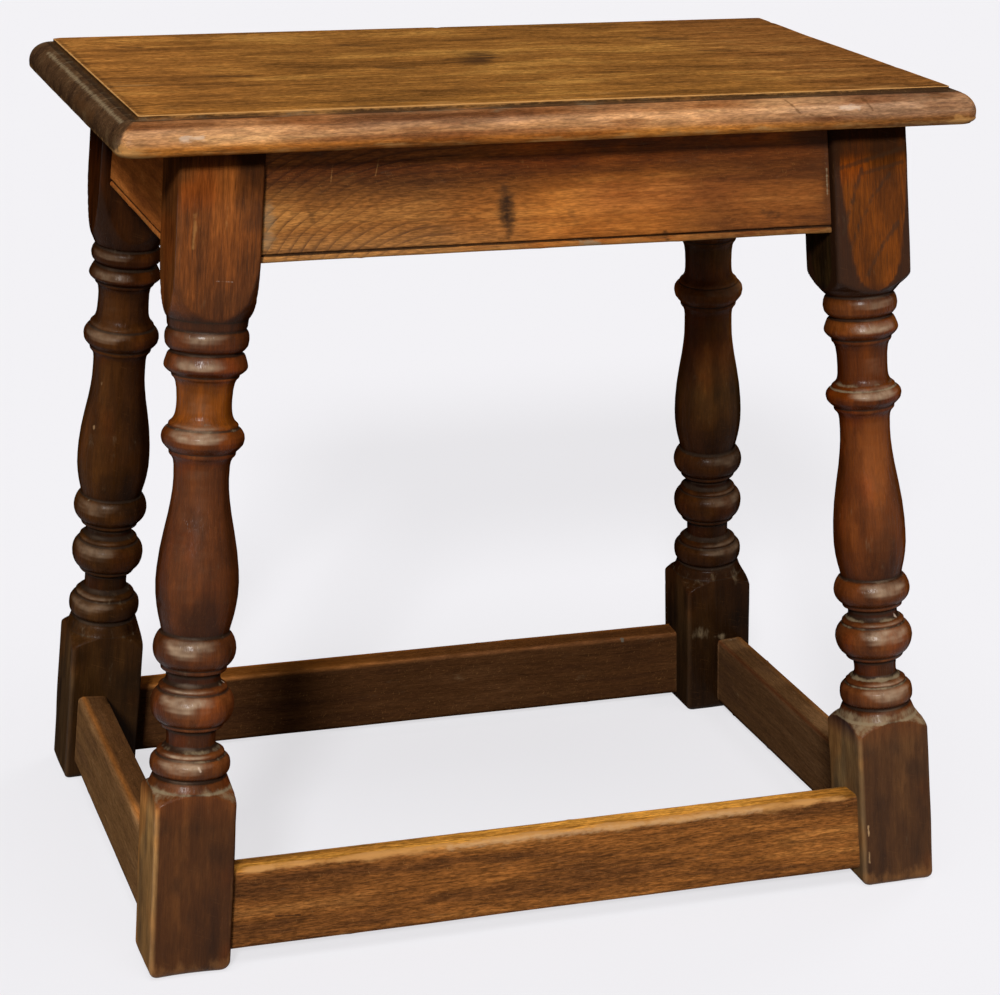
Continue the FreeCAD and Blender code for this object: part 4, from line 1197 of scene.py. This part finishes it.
def make_steel():
    g = Graph(bpy.data.materials.new("old_screw_steel"))
    rust = g.span(g.noise(g.coords(), 900.0, 4.0), 0.42, 0.62)
    g.feed(g.tree.nodes["Principled BSDF"], BaseColor=g.mix(rust, (0.30, 0.29, 0.28), (0.16, 0.07, 0.03)),
           Roughness=g.scaled(rust, 0.4, 0.35), Metallic=g.math("SUBTRACT", 1.0, rust))
    return g.owner


# Room, lamps and camera

FLOOR_REACH = 12
LIT_FLOOR = (0.16, 0.155, 0.16)
SEEN_FLOOR = (0.20, 0.20, 0.21)
FLOOR_GLOW = (0.656, 0.646, 0.662)
SEEN_WALL = (0.88, 0.863, 0.887)


def make_floor():
    """A pale floor: its own colour for the lamps' light, a paler one for the camera."""
    mesh = bpy.data.meshes.new("floor")
    corners = [(x * FLOOR_REACH, y * FLOOR_REACH, 0) for x, y in ((-1, -1), (1, -1), (1, 1), (-1, 1))]
    mesh.from_pydata(corners, [], [(0, 1, 2, 3)])
    link("floor", mesh)
    g = Graph(bpy.data.materials.new("pale_floor"))
    shader = g.tree.nodes["Principled BSDF"]
    g.feed(shader, BaseColor=LIT_FLOOR, Roughness=1.0, SpecularIORLevel=0.0)
    seen = g.feed(g.add("BsdfDiffuse"), Color=SEEN_FLOOR)
    glow = g.feed(g.add("Emission"), Color=FLOOR_GLOW)
    both = g.row(g.add("AddShader"), seen, glow)
    show_pale(g, shader.outputs[0], both, g.tree.nodes["Material Output"])
    mesh.materials.append(g.owner)


def show_pale(g, lit, pale, out):
    """Shows the pale surround to the camera, through glass and in mirrors, and the lit one elsewhere."""
    path = g.add("LightPath").outputs
    share = path["Is Camera Ray"]
    for kind in ("Is Glossy Ray", "Is Transmission Ray"):
        share = g.math("MAXIMUM", share, path[kind])
    g.feed(out, Surface=g.row(g.add("MixShader"), share, lit, pale))


def make_sun(name, azimuth, elevation, strength, angle):
    """A soft sun; azimuth 0 shines from the front, 90 from the right."""
    lamp = bpy.data.lights.new(name, "SUN")
    lamp.energy = strength
    lamp.angle = math.radians(angle)
    turn, high = math.radians(azimuth), math.radians(elevation)
    come_from = Vector((math.sin(turn) * math.cos(high), -math.cos(turn) * math.cos(high), math.sin(high)))
    link(name, lamp).rotation_euler = come_from.to_track_quat("Z", "Y").to_euler()


def make_world(strength):
    world = bpy.data.worlds.new("pale_room")
    bpy.context.scene.world = world
    g = Graph(world)
    back = g.feed(g.tree.nodes["Background"], Color=(1, 1, 1), Strength=strength)
    seen = g.feed(g.add("Background"), Color=SEEN_WALL, Strength=1.0)
    show_pale(g, back, seen, g.tree.nodes["World Output"])


# The camera's place in metres and its turns in radians, fitted to the object's edges.
CAMERA_PLACE = (-0.45609, -1.42035, 0.67992)
CAMERA_YAW = -0.31884
CAMERA_PITCH = -0.31279
CAMERA_ROLL = -0.01912
FOCAL_PIXELS = 2736.83
FRAME_WIDTH = 1000


def make_camera():
    data = bpy.data.cameras.new("camera")
    data.sensor_fit = "HORIZONTAL"
    data.sensor_width = 36
    data.lens = FOCAL_PIXELS / FRAME_WIDTH * data.sensor_width
    camera = link("camera", data)
    ahead = Vector((math.sin(-CAMERA_YAW) * math.cos(CAMERA_PITCH), math.cos(CAMERA_YAW) * math.cos(CAMERA_PITCH),
                    math.sin(CAMERA_PITCH)))
    right = ahead.cross(Vector((0, 0, 1))).normalized()
    down = ahead.cross(right)
    c, s = math.cos(CAMERA_ROLL), math.sin(CAMERA_ROLL)
    turn = Matrix((right * c + down * s, right * s - down * c, -ahead)).transposed()
    camera.matrix_world = Matrix.Translation(CAMERA_PLACE) @ turn.to_4x4()
    bpy.context.scene.camera = camera


# The stool

def build_stool():
    def finish(piece, along, face, shift, look):
        dress(piece, oak(piece.name, along, face, shift, look, MARKS.get(piece.name, ())))

    finish(make_top(3), (1, 0.01, 0), (0, 0, 1), (0.3, 0.1, -0.40), TOP_LOOK)
    legs = (("front", "left", 11), ("front", "right", 23), ("back", "left", 35), ("back", "right", 47))
    for number, (side, end, seed) in enumerate(legs):
        leg, turn = make_leg(side, end, seed)
        shift = (0.7 * number, 0.31 * number + 0.2, -0.17 * number)
        finish(leg, turn[:, 2], (0.3, -1, 0), shift, LEG_LOOK)
    for number, side in enumerate(("front", "back", "left", "right")):
        front = side == "front"
        shift = (0.2 + 0.9 * number, 0.15 + 0.37 * number, 0.05 - 0.21 * number)
        for (board, place), moved, look in (
                (make_frieze(side, 61 + 7 * number, 0.5 * MM if front else 0), shift, FRIEZE_LOOK),
                (make_stretcher(side, 91 + 7 * number), shift[::-1], STRETCHER_LOOK if front else SMOOTH_STRETCHER)):
            turn = place.to_3x3()
            finish(board, turn.col[0], turn.col[1], moved, look)
    dress(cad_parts["top_screws"], make_steel())


bpy.context.scene.view_settings.view_transform = "Standard"
make_camera()
build_stool()
make_floor()
make_world(0.10)
make_sun("key", -24, 30, 3.0, 9)
make_sun("overhead", -10, 75, 1.62, 45)
make_sun("rear", 128, 10, 2.2, 30)
